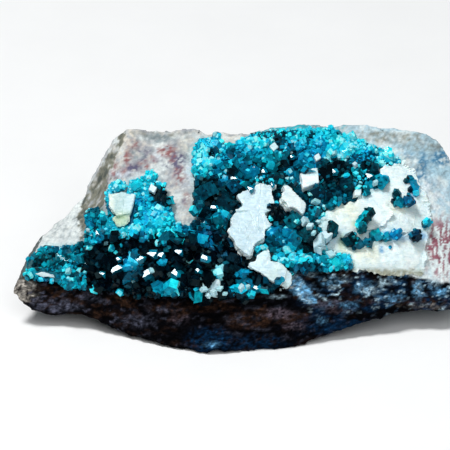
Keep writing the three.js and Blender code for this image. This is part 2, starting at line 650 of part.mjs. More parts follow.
// Each calcite mass stands on the rock and the druse.
const seated = clearOfRock.add(druse(GAP));
const seatFace = new THREE.Mesh(geometryOf(bareRock.add(druse(0))));
const masses = Object.entries(CALCITE).map(([name, blocks]) => (
  [name, (amount) => joined(blocks.map((one) => block(seatFace, one, amount)))]
));
masses.push(...Object.entries(RHOMBS).map(([name, one]) => (
  [name, (amount) => rhomb(seatFace, one, amount)]
)));
let clear = seated;
for (const [name, mass] of masses) {
  place(name, largest(mass(0).subtract(clear)), MATERIALS.calcite);
  clear = clear.add(mass(GAP));
}
const clearOfCalcite = joined(masses.map(([, mass]) => mass(GAP)));
const calciteFace = new THREE.Mesh(geometryOf(clearOfRock.add(clearOfCalcite)));

// The crust: the druse with the large and the scattered crystals on it.
function crust() {
  const large = LARGE.crust.map((row) => largeCrystal(druseFace, row, 0));
  const rows = [...LARGE.crust];
  for (const zone of ZONES) rows.push(...scattered(zone, rows));
  const small = rows.slice(large.length).flatMap((row) => {
    const seat = meanSurfaceAt(druseFace, row[0], row[1], row[2]);
    return seat ? [crystal(seat, row, 0)] : [];
  });
  const crystals = joined([...large, ...small]).subtract(clearOfCalcite);
  return joined([druse(0), crystals]).subtract(clearOfRock);
}

place('dioptase_crust', largest(crust()), MATERIALS.dioptase);
clear = clearOfCalcite.add(clearOfRock);
for (const [name, rows] of Object.entries(LARGE)) {
  if (name === 'crust') continue;
  const group = (amount) => joined(rows.map((row) => largeCrystal(calciteFace, row, amount)));
  place(name, largest(group(0).subtract(clear)), MATERIALS.dioptase);
  clear = clear.add(group(GAP));
}

export default specimen;
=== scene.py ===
"""Looks of the dioptase specimen: rough limestone, stepped calcite and blue-green crystals."""
import math
import random
from collections import namedtuple

import bmesh
import bpy
import numpy as np
from mathutils import Matrix, Vector, noise
from mathutils.bvhtree import BVHTree


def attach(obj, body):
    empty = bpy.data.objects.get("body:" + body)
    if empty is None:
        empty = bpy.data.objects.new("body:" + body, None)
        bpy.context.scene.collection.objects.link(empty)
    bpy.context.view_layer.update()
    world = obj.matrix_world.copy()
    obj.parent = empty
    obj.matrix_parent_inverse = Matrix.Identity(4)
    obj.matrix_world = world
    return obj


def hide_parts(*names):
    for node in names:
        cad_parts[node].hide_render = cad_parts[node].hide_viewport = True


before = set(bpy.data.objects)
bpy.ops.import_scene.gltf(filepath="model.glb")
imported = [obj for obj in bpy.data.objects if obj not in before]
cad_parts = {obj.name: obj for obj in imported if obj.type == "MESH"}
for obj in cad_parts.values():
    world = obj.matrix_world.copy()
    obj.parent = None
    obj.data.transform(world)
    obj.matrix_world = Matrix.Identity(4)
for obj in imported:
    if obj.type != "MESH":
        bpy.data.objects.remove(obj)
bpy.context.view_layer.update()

# -------- places and sizes

# Places are named on the layout plane, which faces the camera: u runs along the specimen and v up.
# "Construction" coordinates are the CAD part's own millimetres.
MM = 0.001
CENTRE = Vector((3.54, 21.8, 0))  # middle of the foot, in construction coordinates
SLOPE_VIEW = math.radians(30)     # elevation from which the layout plane is seen square on
ALONG = Vector((1, 0, 0))
UPWARD = Vector((0, math.sin(SLOPE_VIEW), math.cos(SLOPE_VIEW)))
AWAY = Vector((0, math.cos(SLOPE_VIEW), -math.sin(SLOPE_VIEW)))
CAST_START = 100  # how far in front of the specimen a cast line starts, in millimetres

# Lip between the dark broken side and the crystal-bearing face, in construction coordinates.
LIP = [
    [-42.4, 10.6, 8.2], [-40, 10.8, 10.2], [-33, 11, 9.5], [-28, 10.3, 8.5], [-25, 9.3, 7.6],
    [-20, 7, 8.4], [-10, 3.5, 9.9], [-4, 2.4, 9.9], [4, 2.6, 10.2], [9, 3.6, 11.1], [13, 5, 11.7],
    [15.5, 6.4, 12.9], [20, 8, 14.3], [26, 9.2, 13.6], [35, 10.5, 11.7], [45, 10.5, 9.6],
    [49, 13, 7.7],
]

TARGET = (Vector((0, 20, 17.55)) - CENTRE) * MM  # where the camera and the lights look
CAMERA_DISTANCE = 1.5
CAMERA_REACH = 20
CAMERA_LENS = 600
SENSOR = 36
KEY_PLACE = Vector((-0.25, -0.1, 0.85))
# Lights: place, width in metres and the radiance that they show.
LIGHTS = {"key": (KEY_PLACE, 0.2, 52), "soft": (Vector((0.15, -0.7, 0.75)), 0.8, 2)}
SKY_COLOUR = (0.85, 0.96, 1, 1)
SKY_STRENGTH = 0.16
FLOOR_WIDTH = 6

STONE_VOXEL = 0.42 * MM
CALCITE_VOXEL = 0.22 * MM

# Ways across calcite's cleavage planes, with the spacing of their steps in millimetres.
CLEAVAGES = [
    (Vector((0.82, -0.2, 0.53)).normalized(), 1.9),
    (Vector((-0.35, -0.45, 0.82)).normalized(), 1.3),
    (Vector((0.12, 0.86, 0.5)).normalized(), 1.6),
]

CRYSTAL_NODES = [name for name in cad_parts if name.startswith("dioptase_")]
CRUST = "dioptase_crust"


def construction(points):
    """Row-frame metres to construction millimetres."""
    return np.asarray(points, float) / MM + np.array(CENTRE)


def up_plane(y, z):
    """The v of construction coordinates."""
    return math.sin(SLOPE_VIEW) * y + math.cos(SLOPE_VIEW) * z


def layout(points):
    """Places u and v on the layout plane of row-frame points, in millimetres."""
    at = construction(points)
    return at[:, 0], up_plane(at[:, 1], at[:, 2])


def over(u, v):
    """A point well in front of the specimen, at place u, v of the layout plane."""
    return (ALONG * u + UPWARD * v - AWAY * CAST_START - CENTRE) * MM


def smoothstep(low, high, value):
    t = np.clip((np.asarray(value, float) - low) / (high - low), 0, 1)
    return t * t * (3 - 2 * t)


def inside(outline, u, v):
    """Which of the places lie inside a closed outline."""
    within = np.zeros(np.shape(u), bool)
    for (u0, v0), (u1, v1) in zip(outline, outline[1:] + outline[:1]):
        if v0 != v1:
            crosses = (v0 > v) != (v1 > v)
            within ^= crosses & (u < u0 + (u1 - u0) * (v - v0) / (v1 - v0))
    return within


def spot(u, v, centre_u, centre_v, radius_u, radius_v, soft):
    """A soft ellipse: 1 in its middle, 0 outside."""
    distance = np.hypot((u - centre_u) / radius_u, (v - centre_v) / radius_v)
    return 1 - smoothstep(1 - soft, 1 + soft, distance)


def noise_at(points, wave, octaves, seed):
    """Fractal noise of about -1 to 1 at construction points, with a wavelength in millimetres."""
    increment, lacunarity = 0.9, 2
    offset = Vector((seed, 1.7 * seed, -seed))
    places = [Vector(point) / wave + offset for point in points]
    return np.array([noise.fractal(at, increment, lacunarity, octaves) for at in places])


def patches(points, low, high, wave, octaves, seed):
    """0 where noise is below low and 1 where it is above high, with soft edges between."""
    return smoothstep(low, high, noise_at(points, wave, octaves, seed))


def lines_at(points, width, wave, octaves, seed):
    """1 along the wandering lines where noise crosses zero, falling to 0 beside them."""
    return smoothstep(width, 0, np.abs(noise_at(points, wave, octaves, seed)))


def terraces(points, scale):
    """Heights from 0 to 1 in rhombic cells, as cleavage leaves them."""
    cells = [
        noise.cell(Vector([Vector(point).dot(way) / (scale * size) for way, size in CLEAVAGES]))
        for point in points
    ]
    return np.clip(np.array(cells), 0, 1)


# -------- meshes

def linked(name, data):
    piece = bpy.data.objects.new(name, data)
    bpy.context.scene.collection.objects.link(piece)
    return piece


def fine_copy(node, name, voxel, smoothing):
    """A CAD node remeshed finely as a closed mesh, its facets' edges softened."""
    work = bmesh.new()
    work.from_mesh(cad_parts[node].data)
    bmesh.ops.remove_doubles(work, verts=work.verts, dist=1e-6)
    mesh = bpy.data.meshes.new(name)
    work.to_mesh(mesh)
    work.free()
    piece = linked(name, mesh)
    remesh = piece.modifiers.new("remesh", "REMESH")
    remesh.mode = "VOXEL"
    remesh.voxel_size = voxel
    smooth = piece.modifiers.new("smooth", "SMOOTH")
    smooth.factor = 0.5
    smooth.iterations = smoothing
    bpy.context.view_layer.update()
    evaluated = piece.evaluated_get(bpy.context.evaluated_depsgraph_get())
    piece.data = bpy.data.meshes.new_from_object(evaluated)
    piece.modifiers.clear()
    piece.data.name = name
    return piece


def survey(mesh):
    """Each corner's place, normal and construction place, and its u and v on the layout plane."""
    points, normals = np.empty((2, len(mesh.vertices) * 3))
    mesh.vertices.foreach_get("co", points)
    mesh.vertices.foreach_get("normal", normals)
    points, normals = points.reshape(-1, 3), normals.reshape(-1, 3)
    return points, normals, construction(points), *layout(points)


def move_corners(mesh, points):
    mesh.vertices.foreach_set("co", np.asarray(points).ravel())
    mesh.update()


def paint(mesh, colours):
    """Stores a linear colour for each corner of the mesh, as its pigment."""
    layer = mesh.color_attributes.new("pigment", "FLOAT_COLOR", "POINT")
    rgba = np.ones((len(mesh.vertices), 4))
    rgba[:, :3] = colours
    layer.data.foreach_set("color", rgba.ravel())


def tree_of(nodes):
    """A search tree over CAD nodes."""
    corners, faces = [], []
    for node in nodes:
        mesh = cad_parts[node].data
        start = len(corners)
        corners.extend(vertex.co.copy() for vertex in mesh.vertices)
        faces.extend([start + index for index in face.vertices] for face in mesh.polygons)
    return BVHTree.FromPolygons(corners, faces)


CRYSTALS = tree_of(CRYSTAL_NODES)


def halo(mesh, reach):
    """How near each corner is to the dioptase: 1 where they touch, 0 from the reach on."""
    shares = []
    for vertex in mesh.vertices:
        distance = CRYSTALS.find_nearest(vertex.co, reach)[3]
        shares.append(0 if distance is None else 1 - distance / reach)
    return np.array(shares)


# -------- shader building

class Shader:
    """A node material, built by short calls that return sockets."""

    def __init__(self, name):
        self.material = bpy.data.materials.new(name)
        self.material.use_nodes = True
        self.tree = self.material.node_tree
        self.tree.nodes.clear()
        self.output = self.tree.nodes.new("ShaderNodeOutputMaterial")
        self.place = self.node("ShaderNodeTexCoord").outputs["Object"]

    def node(self, kind, inputs=None, **settings):
        node = self.tree.nodes.new(kind)
        for key, value in settings.items():
            setattr(node, key, value)
        for key, value in (inputs or {}).items():
            if isinstance(value, bpy.types.NodeSocket):
                self.tree.links.new(value, node.inputs[key])
            else:
                node.inputs[key].default_value = value
        return node

    def attribute(self, name, output="Fac"):
        return self.node("ShaderNodeAttribute", attribute_name=name).outputs[output]

    def noise(self, size, detail, roughness=0.55, stretch=(1, 1, 1)):
        """Noise whose features are about size metres."""
        mapping = self.node("ShaderNodeMapping", {"Vector": self.place, "Scale": stretch})
        return self.node("ShaderNodeTexNoise", {
            "Vector": mapping.outputs["Vector"], "Scale": 1 / size, "Detail": detail,
            "Roughness": roughness,
        }).outputs["Fac"]

    def cells(self, size):
        texture = self.node("ShaderNodeTexVoronoi", {"Vector": self.place, "Scale": 1 / size})
        return texture.outputs["Distance"]

    def fit(self, value, low, high, to_low, to_high):
        return self.node("ShaderNodeMapRange", {
            "Value": value, "From Min": low, "From Max": high, "To Min": to_low, "To Max": to_high,
        }).outputs["Result"]

    def math(self, operation, first, second):
        node = self.node("ShaderNodeMath", {0: first, 1: second}, operation=operation)
        return node.outputs["Value"]

    def ramp(self, value, stops):
        node = self.node("ShaderNodeValToRGB", {"Fac": value})
        elements = node.color_ramp.elements
        while len(elements) < len(stops):
            elements.new(0.5)
        for element, (position, colour) in zip(elements, stops):
            element.position = position
            element.color = (*colour, 1)
        return node.outputs["Color"]

    def mix(self, share, first, second, blend="MIX"):
        """Mixes two colour sockets: 6, 7 and 2 are the colour ones among the node's sockets."""
        inputs = {0: share, 6: first, 7: second}
        node = self.node("ShaderNodeMix", inputs, data_type="RGBA", blend_type=blend)
        return node.outputs[2]

    def bump(self, height, distance, strength, normal=None):
        inputs = {"Height": height, "Distance": distance, "Strength": strength}
        if normal:
            inputs["Normal"] = normal
        return self.node("ShaderNodeBump", inputs).outputs["Normal"]

    def surface(self, volume=None, **inputs):
        named = {key.replace("_", " "): value for key, value in inputs.items()}
        shader = self.node("ShaderNodeBsdfPrincipled", named)
        self.tree.links.new(shader.outputs["BSDF"], self.output.inputs["Surface"])
        if volume:
            self.tree.links.new(volume, self.output.inputs["Volume"])
        return self.material


# -------- limestone

# Pigments of the pale stone.
PALE = (0.44, 0.46, 0.475)
DULL_PALE = (0.396, 0.414, 0.4275)
ICE = (0.4, 0.64, 0.76)
CREAM = (0.68, 0.64, 0.56)
DULL_CREAM = (0.544, 0.512, 0.448)
WHITE = (0.74, 0.8, 0.79)
LAVENDER = (0.6, 0.66, 0.74)
GREY = (0.21, 0.26, 0.28)
RED = (0.26, 0.1, 0.1)
PURPLE = (0.11, 0.1, 0.17)
MAROON = (0.22, 0.02, 0.055)
BLUE = (0.06, 0.2, 0.34)
OLIVE = (0.2, 0.2, 0.16)
ASH = (0.055, 0.07, 0.07)
RUST = (0.17, 0.1, 0.06)
COPPER = (0.16, 0.62, 0.68)  # the tinge of what touches the dioptase
VERDIGRIS = (0.02, 0.36, 0.44)
# Pigments of the dark broken front, which is partly the rock's own dark and partly painted shade.
DARK_ROCK_AND_SHADE = (0.0015, 0.0015, 0.0025)
BROWN = (0.04, 0.019, 0.011)
SLATE = (0.085, 0.09, 0.13)
MAUVE = (0.09, 0.07, 0.09)
NAVY = (0.003, 0.022, 0.06)
SKY = (0.13, 0.35, 0.58)
FROST = (0.42, 0.6, 0.7)
BEIGE = (0.4, 0.37, 0.33)

# Outlines on the layout plane.
DARK_FLANK = [
    [-20.6, 44.6], [-28.4, 31.4], [-29.6, 27], [-28.4, 19.4], [-26.4, 20.4], [-24.8, 26.8],
    [-24, 32], [-22.6, 37.6], [-19.8, 43.4],
]
WHITE_FLANK = [
    [-28.4, 31.4], [-37.6, 23], [-39.6, 20], [-33, 18.8], [-28.4, 17.6], [-27, 19.4], [-29.6, 27],
]
DARK_RIM = [
    [-42.4, 13], [-41.6, 15.6], [-37.6, 23.6], [-36.6, 23.4], [-38.2, 19.6], [-39.6, 15.6],
    [-39.4, 13],
]
DARK_LEDGE = [
    [12.6, 13], [14.2, 16], [15.4, 17.8], [18, 17.6], [21.4, 16.8], [21.6, 14.6], [15, 12.6],
]
# A narrow blue streak on the dark front, painted as a reflection.
BLUE_REFLECTION_WEDGE = [[12.6, 15.6], [14.6, 15.4], [18.6, 9.6], [16.6, 9.4], [13, 12.4]]

# Stains: colour, seed and wavelength of the noise that breaks them up, and the spots as
# [u, v, radius along u, radius along v, strength].
PALE_STAINS = [
    (CREAM, 2.2, 0.9, [
        [-19.2, 42.4, 1.6, 2.4, 1.1], [-21.6, 39, 1, 2.4, 0.8], [-7.6, 41.6, 1.8, 1.6, 0.7],
        [-5.2, 31.6, 1.2, 6.5, 1], [1.4, 42.4, 2.2, 1.8, 0.8], [34, 38.4, 3.4, 1.8, 0.7],
        [29.6, 41.2, 3, 1.6, 0.8], [-7.2, 26.6, 2.4, 2, 0.7], [34.6, 34.4, 3, 1.6, 0.6],
        [33.6, 15.4, 6, 0.8, 0.8],
    ]),
    (WHITE, 29.7, 0.8, [
        [40, 28, 4, 6, 1.1], [38.6, 19, 3.4, 5, 1.2], [37.4, 36.4, 2.4, 2.4, 0.8],
        [-6, 37, 1.2, 3, 0.9], [33, 42.8, 6, 1.6, 0.7], [42, 14.6, 4, 1, 1],
    ]),
    (LAVENDER, 17.1, 0.8, [
        [-20.4, 35.6, 2.2, 0.8, 1], [-16.4, 34.6, 2, 0.7, 0.8], [-13.6, 39.4, 1.6, 1.2, 0.7],
        [-7.4, 35.4, 1.4, 3, 0.7], [42, 31, 3.4, 3, 0.5],
    ]),
    (GREY, 11.4, 0.7, [
        [-13.4, 42.8, 2.6, 0.9, 1.6], [-17.2, 39.6, 1.8, 1.1, 0.9], [-7.4, 39.2, 1.2, 1.6, 0.6],
        [31.4, 42.9, 3.6, 0.9, 0.8], [38.6, 41.6, 4.2, 1.5, 0.6], [35.4, 41.6, 3, 0.8, 0.6],
        [37.6, 37.8, 2.4, 1.8, 0.8], [43.4, 40.4, 2.4, 1.6, 0.9], [40.6, 27.6, 1.2, 1.4, 0.5],
        [-3.4, 25.6, 1, 0.8, 0.5],
    ]),
    (RED, 4.7, 0.7, [
        [-11.6, 40.1, 1.9, 1.1, 1.5], [-10.6, 38.8, 1, 1.1, 1.3], [-19.6, 38.6, 1, 1.5, 1.3],
        [-22.2, 36.4, 0.8, 1.8, 1], [-24.2, 35, 0.8, 1.2, 0.9], [-9.2, 35.4, 1.2, 1.9, 1.3],
        [-16.4, 37.4, 1.2, 0.9, 0.9], [-18.4, 41.4, 1.6, 0.9, 0.7], [-7.6, 30.4, 0.8, 1.4, 0.8],
        [-4.8, 41.6, 1, 0.8, 0.5], [-14.4, 38.6, 0.9, 0.9, 0.7], [-20.6, 36.4, 1.2, 0.8, 0.8],
    ]),
    (PURPLE, 7.9, 0.6, [
        [-9.4, 38.2, 1.5, 1.5, 1.5], [-18, 36.8, 1.5, 0.9, 1.5], [-9.8, 36.4, 1, 1.2, 1.1],
        [-7.9, 30.2, 0.9, 0.6, 0.9], [-16, 40, 1.4, 0.9, 0.7], [-8.4, 33, 0.6, 1.1, 0.6],
        [-11.6, 37.4, 1, 0.8, 0.8], [-13.4, 38, 1, 0.7, 0.6], [-16.4, 38.4, 0.9, 0.7, 0.6],
    ]),
    (OLIVE, 19.1, 0.9, [
        [34, 42.8, 7, 1.1, 0.8], [29, 43.6, 5, 0.8, 0.7], [40, 41, 3, 1, 0.6],
        [-13, 43.6, 6, 0.7, 0.6],
    ]),
    (BLUE, 13.3, 0.6, [
        [43.4, 38.6, 2, 1.4, 1.9], [39.8, 38, 1.1, 1.9, 1.4], [39.4, 35.6, 1.3, 1.6, 1.2],
        [41.4, 36.6, 0.8, 1, 0.6], [38.6, 31.4, 0.7, 2, 0.8], [41, 33.4, 1, 1.2, 0.6],
        [36.6, 39.4, 1.4, 0.8, 0.6],
    ]),
    (VERDIGRIS, 62.3, 0.6, [[12.4, 45.4, 10.4, 1.5, 2.2]]),
]
DARK_STAINS = [
    (BEIGE, 81.1, 0.9, [[-41, 12, 3, 2.4, 1.8], [41, 9, 6, 0.5, 0.4]]),
    (SLATE, 83.3, 0.7, [
        [-34, 9.2, 4.4, 1.2, 1.3], [-26.8, 11.2, 1.8, 0.9, 1.5], [-32, 12, 1.6, 0.8, 0.7],
        [-17.6, 6, 3, 1.2, 0.9], [-13, 8.4, 2.4, 0.7, 0.8], [3, 6.4, 3, 1, 0.6],
        [20, 9.6, 3, 1, 0.8],
    ]),
    (BROWN, 87.7, 0.8, [
        [-33, 11.6, 2.6, 1.2, 1.2], [-37, 12.6, 2, 0.8, 0.8], [-20.6, 10.4, 3, 0.7, 1.4],
        [-12, 8.8, 3.4, 1, 0.9], [-3, 9, 4, 1, 0.8], [5, 6.4, 4.4, 1.6, 1.2], [14, 6.8, 3, 1, 0.9],
        [26, 10, 4, 1, 0.7], [38, 10, 6, 0.8, 0.8], [-24, 7.6, 3, 0.8, 0.6],
    ]),
    (MAUVE, 91.9, 0.6, [
        [10.6, 7.6, 2.8, 1, 1.2], [13.8, 5, 2, 0.7, 1.2], [-9, 6.4, 2, 0.8, 0.6],
        [22, 8.4, 2, 0.8, 0.8],
    ]),
    (NAVY, 93.3, 0.6, [
        [-3, 2.2, 4, 2.4, 1.5], [6, 1.6, 5, 1.6, 1], [24.4, 9.2, 2.2, 0.7, 1], [19, 4.6, 3, 1, 1],
        [30, 12, 6, 2, 0.5],
    ]),
    (SKY, 97.1, 0.55, [
        # The first three spots run along the blue wedge and are painted reflection, like it.
        [14.2, 13.4, 1.3, 1.4, 2.5], [15.6, 11.8, 1.2, 1.3, 2.5], [17, 10.4, 0.9, 0.8, 2],
        [38.4, 12.2, 1, 1.6, 1.5], [28, 12.6, 2, 1.2, 0.9], [24.6, 9.2, 1.6, 0.6, 0.8],
        [34, 10.6, 2, 0.8, 0.7], [-2.6, 1.4, 1.6, 0.6, 0.7], [21, 14, 2, 1, 0.7],
        [43, 12, 1.6, 1, 0.9], [19.4, 6, 1, 0.6, 0.8],
    ]),
    (FROST, 99.9, 0.5, [
        [17, 15.8, 1.2, 0.8, 1.3], [21.6, 12.8, 0.9, 0.5, 1.2], [29, 12.2, 2, 0.8, 0.8],
        [10.2, 11, 1.6, 0.4, 1.2], [38.6, 12.6, 0.6, 1.2, 0.8], [42, 14, 1.4, 0.8, 0.8],
        [24, 14.4, 1.2, 0.6, 0.8], [32, 14, 1.6, 0.7, 0.7], [14.6, 12.8, 0.5, 1.2, 1.4],
        [16, 11, 0.4, 0.9, 1.2],
    ]),
]
# The maroon hatching near the right edge, as a spot without its strength.
HATCHED = [43.2, 20.6, 3.6, 6]
END_FACE = 45.2  # where the blunt end's broken face begins, along u
CRACKS = (8, 4, 53.9)  # noise along whose zero lines the back is cracked, and rusty
STONE_SMOOTHING = 5


def layered(colours, *layers):
    """A colour, or one for each point, with others laid over it in turn by their shares."""
    colours = np.asarray(colours)
    for colour, share in layers:
        share = np.asarray(share)[:, None]
        colours = colours * (1 - share) + np.asarray(colour) * share
    return colours


def stained(colours, at, u, v, groups):
    """Lays soft stains, broken up by noise of their own grain, over the colours."""
    for colour, seed, grain, stains in groups:
        rough = noise_at(at, grain, 4, seed)
        share = np.zeros(len(u))
        for *place, strength in stains:
            share = np.maximum(share, strength * spot(u, v, *place, 0.55))
        share = np.clip(share * (0.45 + 1.1 * rough), 0, 0.95)
        colours = layered(colours, (colour, share))
    return colours


def pale_stone(at, u, v, facing):
    """Pigment of the crystal-bearing face, the flanks and the back."""
    broad = noise_at(at, 7, 3, 3.1)
    fine = noise_at(at, 1.1, 4, 8.3)
    speckle = noise_at(at, 0.55, 2, 5.9)
    clouds = noise_at(at, 2.6, 4, 6.7)
    combed = at @ np.array([[0.5, 0.9, 0], [0.5, -0.9, 0], [0.4, 0, 0.4]]).T
    scratches = patches(combed, 0.15, 0.6, 0.7, 3, 23.9)
    colours = layered(
        PALE,
        (ICE, 0.8 * smoothstep(18, 34, u + 4 * broad)),
        (GREY, 0.55 * smoothstep(0.1, 0.6, fine)),
        (PURPLE, 0.35 * smoothstep(10, 0, u) * smoothstep(0.15, 0.6, clouds)),
        (CREAM, 0.5 * smoothstep(0.05, 0.6, -fine) * smoothstep(34, 20, u)),
        (WHITE, 0.65 * smoothstep(0.05, 0.5, -clouds)),
        (GREY, 0.5 * scratches * smoothstep(28, 36, u) * smoothstep(34, 40, v)),
    )
    colours = stained(colours, at, u, v, PALE_STAINS)
    hatching = spot(u, v, *HATCHED, 0.4)
    strokes = patches(at * np.array([1.8, 0.4, 0.4]), -0.1, 0.2, 0.9, 4, 21.7)
    # The back, duller and warmer, with iron along its cracks.
    end = smoothstep(END_FACE, END_FACE + 2, u + 1.2 * broad)
    behind = np.maximum(smoothstep(0.05, 0.5, -facing), end)
    dull = layered(
        DULL_PALE,
        (DULL_CREAM, 0.7 * patches(at, -0.1, 0.5, 9, 4, 31.9)),
        (GREY, 0.7 * patches(at, 0, 0.5, 5, 5, 17.3)),
        (WHITE, 0.5 * patches(at, 0.1, 0.5, 1.6, 4, 37.7)),
        (ASH, 0.5 * patches(at, 0.15, 0.5, 1.2, 4, 61.3)),
        (RUST, 0.5 * lines_at(at, 0.07, *CRACKS)),
    )
    # The flanks at the pointed end.
    seen = facing > -0.2
    u, v = u + 0.6 * fine, v + 0.6 * fine
    white_flank = seen * inside(WHITE_FLANK, u, v)
    dark_flank = seen * inside(DARK_FLANK, u, v)
    streaks = noise_at(at * np.array([1.4, 1.4, 0.3]), 1.5, 4, 41.1)
    colours = layered(
        colours,
        (WHITE, 0.8 * hatching),
        (MAROON, 0.9 * (hatching * strokes)),
        (dull, behind),
        (WHITE, 0.6 * white_flank),
        (OLIVE, dark_flank * smoothstep(-0.7, 0, streaks)),
        (ASH, 0.75 * dark_flank * smoothstep(0, 0.6, streaks)),
        (GREY, 0.55 * lines_at(at, 0.12, 3, 4, 43.3) * white_flank),
        (ASH, 0.9 * seen * inside(DARK_RIM, u, v)),
    )
    return colours * (1 + 0.2 * speckle)[:, None]


def dark_and_shaded_stone(at, u, v, facing):
    """Pigment of the dark broken front and of the underside, as dull as the back: the rock's own
    dark, deepened towards black as painted shade.
    """
    drawn_out = at * np.array([0.5, 1, 1])
    broad = noise_at(at, 6, 2, 49.1)
    right = smoothstep(10, 22, u + 3 * broad)
    left = smoothstep(-16, -26, u + 3 * broad)
    upper = smoothstep(6, 11, v + 1.5 * broad)
    below = smoothstep(0.3, 0.8, -facing)
    browned = patches(drawn_out, 0.15, 0.5, 1.5, 4, 51.3)
    frosted = patches(drawn_out, 0.25, 0.55, 1.1, 5, 63.7)
    flecks = patches(drawn_out, 0.4, 0.6, 0.7, 4, 67.3)
    # A near-black base: the front's own dark, deepened as painted shade.
    colours = layered(
        DARK_ROCK_AND_SHADE,
        (NAVY, 0.7 * right * patches(drawn_out, -0.1, 0.4, 2, 4, 71.9)),
        (BROWN, (0.25 + 0.55 * upper) * (1 - 0.6 * right) * browned),
        (SLATE, (0.25 + 0.6 * left) * frosted),
        (SKY, 0.35 * right * upper * frosted),
        (FROST, 0.8 * right * upper * flecks),
    )
    colours = stained(colours, at, u, v, DARK_STAINS)
    # The blue wedge: a painted reflection in sky blue and frost.
    reflection_wedge = inside(BLUE_REFLECTION_WEDGE, u + 0.5 * noise_at(at, 1.5, 3, 57.1), v)
    return layered(
        colours,
        (SKY, 0.85 * reflection_wedge),
        (FROST, 0.7 * reflection_wedge * patches(at, -0.1, 0.4, 0.8, 3, 59.3)),
        (SLATE, 0.6 * below * patches(at, -0.2, 0.6, 2.4, 4, 73.1)),
    )


def front_share(at, normals, u, v):
    """How far each point belongs to the dark broken front, 0 to 1; faces turned down count too,
    painted dark as shade.
    """
    lip_x, lip_y, lip_z = np.array(LIP).T
    lip_y, lip_z = np.interp(at[:, 0], lip_x, lip_y), np.interp(at[:, 0], lip_x, lip_z)
    broad = noise_at(at, 2.5, 3, 1.3)
    crusted = smoothstep(14, 10, u)  # under the crust's edge the dark, partly painted shade, reaches a little higher
    low = smoothstep(-0.3, 0.3, up_plane(lip_y, lip_z) + 1.7 * crusted - v + 0.5 * broad)
    before = smoothstep(-1, 3, lip_y + 4 - at[:, 1])
    ledge = inside(DARK_LEDGE, u + 0.5 * broad, v + 0.5 * broad) * (normals @ np.array(AWAY) < 0)
    # Faces turned down take the dark too, as painted shade.
    under = smoothstep(0.35, 0.75, -normals[:, 2])
    return np.clip(np.maximum.reduce([low * before, 0.85 * under, ledge]), 0, 1)


def limestone():
    piece = fine_copy("matrix", "limestone", STONE_VOXEL, STONE_SMOOTHING)
    mesh = piece.data
    points, normals, at, u, v = survey(mesh)
    facing = -(normals @ np.array(AWAY))
    front = front_share(at, normals, u, v)
    # Chips and pits go inwards, so that the stone stays under what grew on it.
    chips = np.array([noise.voronoi(Vector(point) / 2.6)[0][0] for point in at])
    coarse = noise_at(at, 3.4, 4, 9.1)
    grain = noise_at(at, 0.9, 3, 19.3)
    strata = noise_at(at * np.array([0.35, 1, 1.6]), 1.7, 4, 27.1)
    depth = 0.3 * coarse + 0.28 * chips + 0.1 * grain + front * 0.45 * strata
    move = np.clip(-0.12 + 0.9 * depth - 0.25, -1.1, 0.28)
    # Broken rock at the back and the blunt end: blocks, ledges and open cracks.
    end = smoothstep(END_FACE, END_FACE + 1, u)
    behind = np.maximum(smoothstep(0, 0.5, -facing), 0.7 * end) * (1 - front)
    blocks = terraces(at + 0.8 * coarse[:, None], 2.6) - 0.5
    ledges = terraces(at * np.array([0.4, 1, 1]) + 0.6 * coarse[:, None], 1.1) - 0.5
    cracks = lines_at(at, 0.06, *CRACKS)
    move += behind * (0.7 * blocks + 0.4 * ledges + 0.3 * coarse - 0.5 * cracks)
    # The foot stays flat.
    foot = (at[:, 2] < 0.25) & (normals[:, 2] < -0.8)
    move = np.where(foot, -0.12 + 0.12 * grain, move)
    move_corners(mesh, points + normals * move[:, None] * MM)
    # The dark front's pigment is partly painted shade.
    pigment = layered(
        pale_stone(at, u, v, facing),
        (COPPER, 0.5 * halo(mesh, 1.2 * MM)),
        (dark_and_shaded_stone(at, u, v, facing), front),
    )
    paint(mesh, np.clip(pigment, 0, 1))
    layer = mesh.attributes.new("front", "FLOAT", "POINT")
    layer.data.foreach_set("value", front)
    mesh.shade_smooth()
    mesh.materials.append(stone_material())
    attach(piece, "root")
    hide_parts("matrix")


def stone_material():
    """Rough stone in its pigment, with glitter painted into the colour where the front is freshly
    broken: painted highlights and dark flecks.
    """
    shader = Shader("limestone")
    pigment = shader.attribute("pigment", "Color")
    front = shader.attribute("front")
    grain = shader.noise(0.5 * MM, 6, 0.65)
    pits = shader.cells(0.7 * MM)
    tint = shader.ramp(grain, [
        (0.25, (0.68, 0.69, 0.72)), (0.5, (1, 1, 1)), (0.75, (1.24, 1.23, 1.18)),
    ])
    colour = shader.mix(0.85, pigment, tint, "MULTIPLY")
    # Painted glitter: bright flecks as painted highlights, dark ones between them.
    painted_glitter = shader.ramp(shader.noise(0.8 * MM, 8, 0.75, (0.6, 1, 1.2)), [
        (0.36, (0.15, 0.15, 0.17)), (0.5, (0.75, 0.75, 0.75)), (0.6, (1.7, 1.7, 1.7)),
        (0.7, (3.4, 3.3, 3.2)),
    ])
    colour = shader.mix(front, colour, shader.mix(1, colour, painted_glitter, "MULTIPLY"))
    roughness = shader.fit(grain, 0.3, 0.7, 0.62, 0.95)
    height = shader.math("ADD", grain, shader.math("MULTIPLY", pits, 0.35))
    fine = shader.bump(height, 0.16 * MM, 0.9)
    ridges = shader.noise(1.4 * MM, 5, 0.6, (0.5, 1, 1.3))
    broken = shader.bump(ridges, 0.5 * MM, shader.math("MULTIPLY", front, 0.7), fine)
    return shader.surface(
        Base_Color=colour, Roughness=roughness, Specular_IOR_Level=0.02, Normal=broken,
    )


# -------- calcite

WOBBLE_SEED = 1795495290  # of noise_vector, which follows the clock where no seed is set
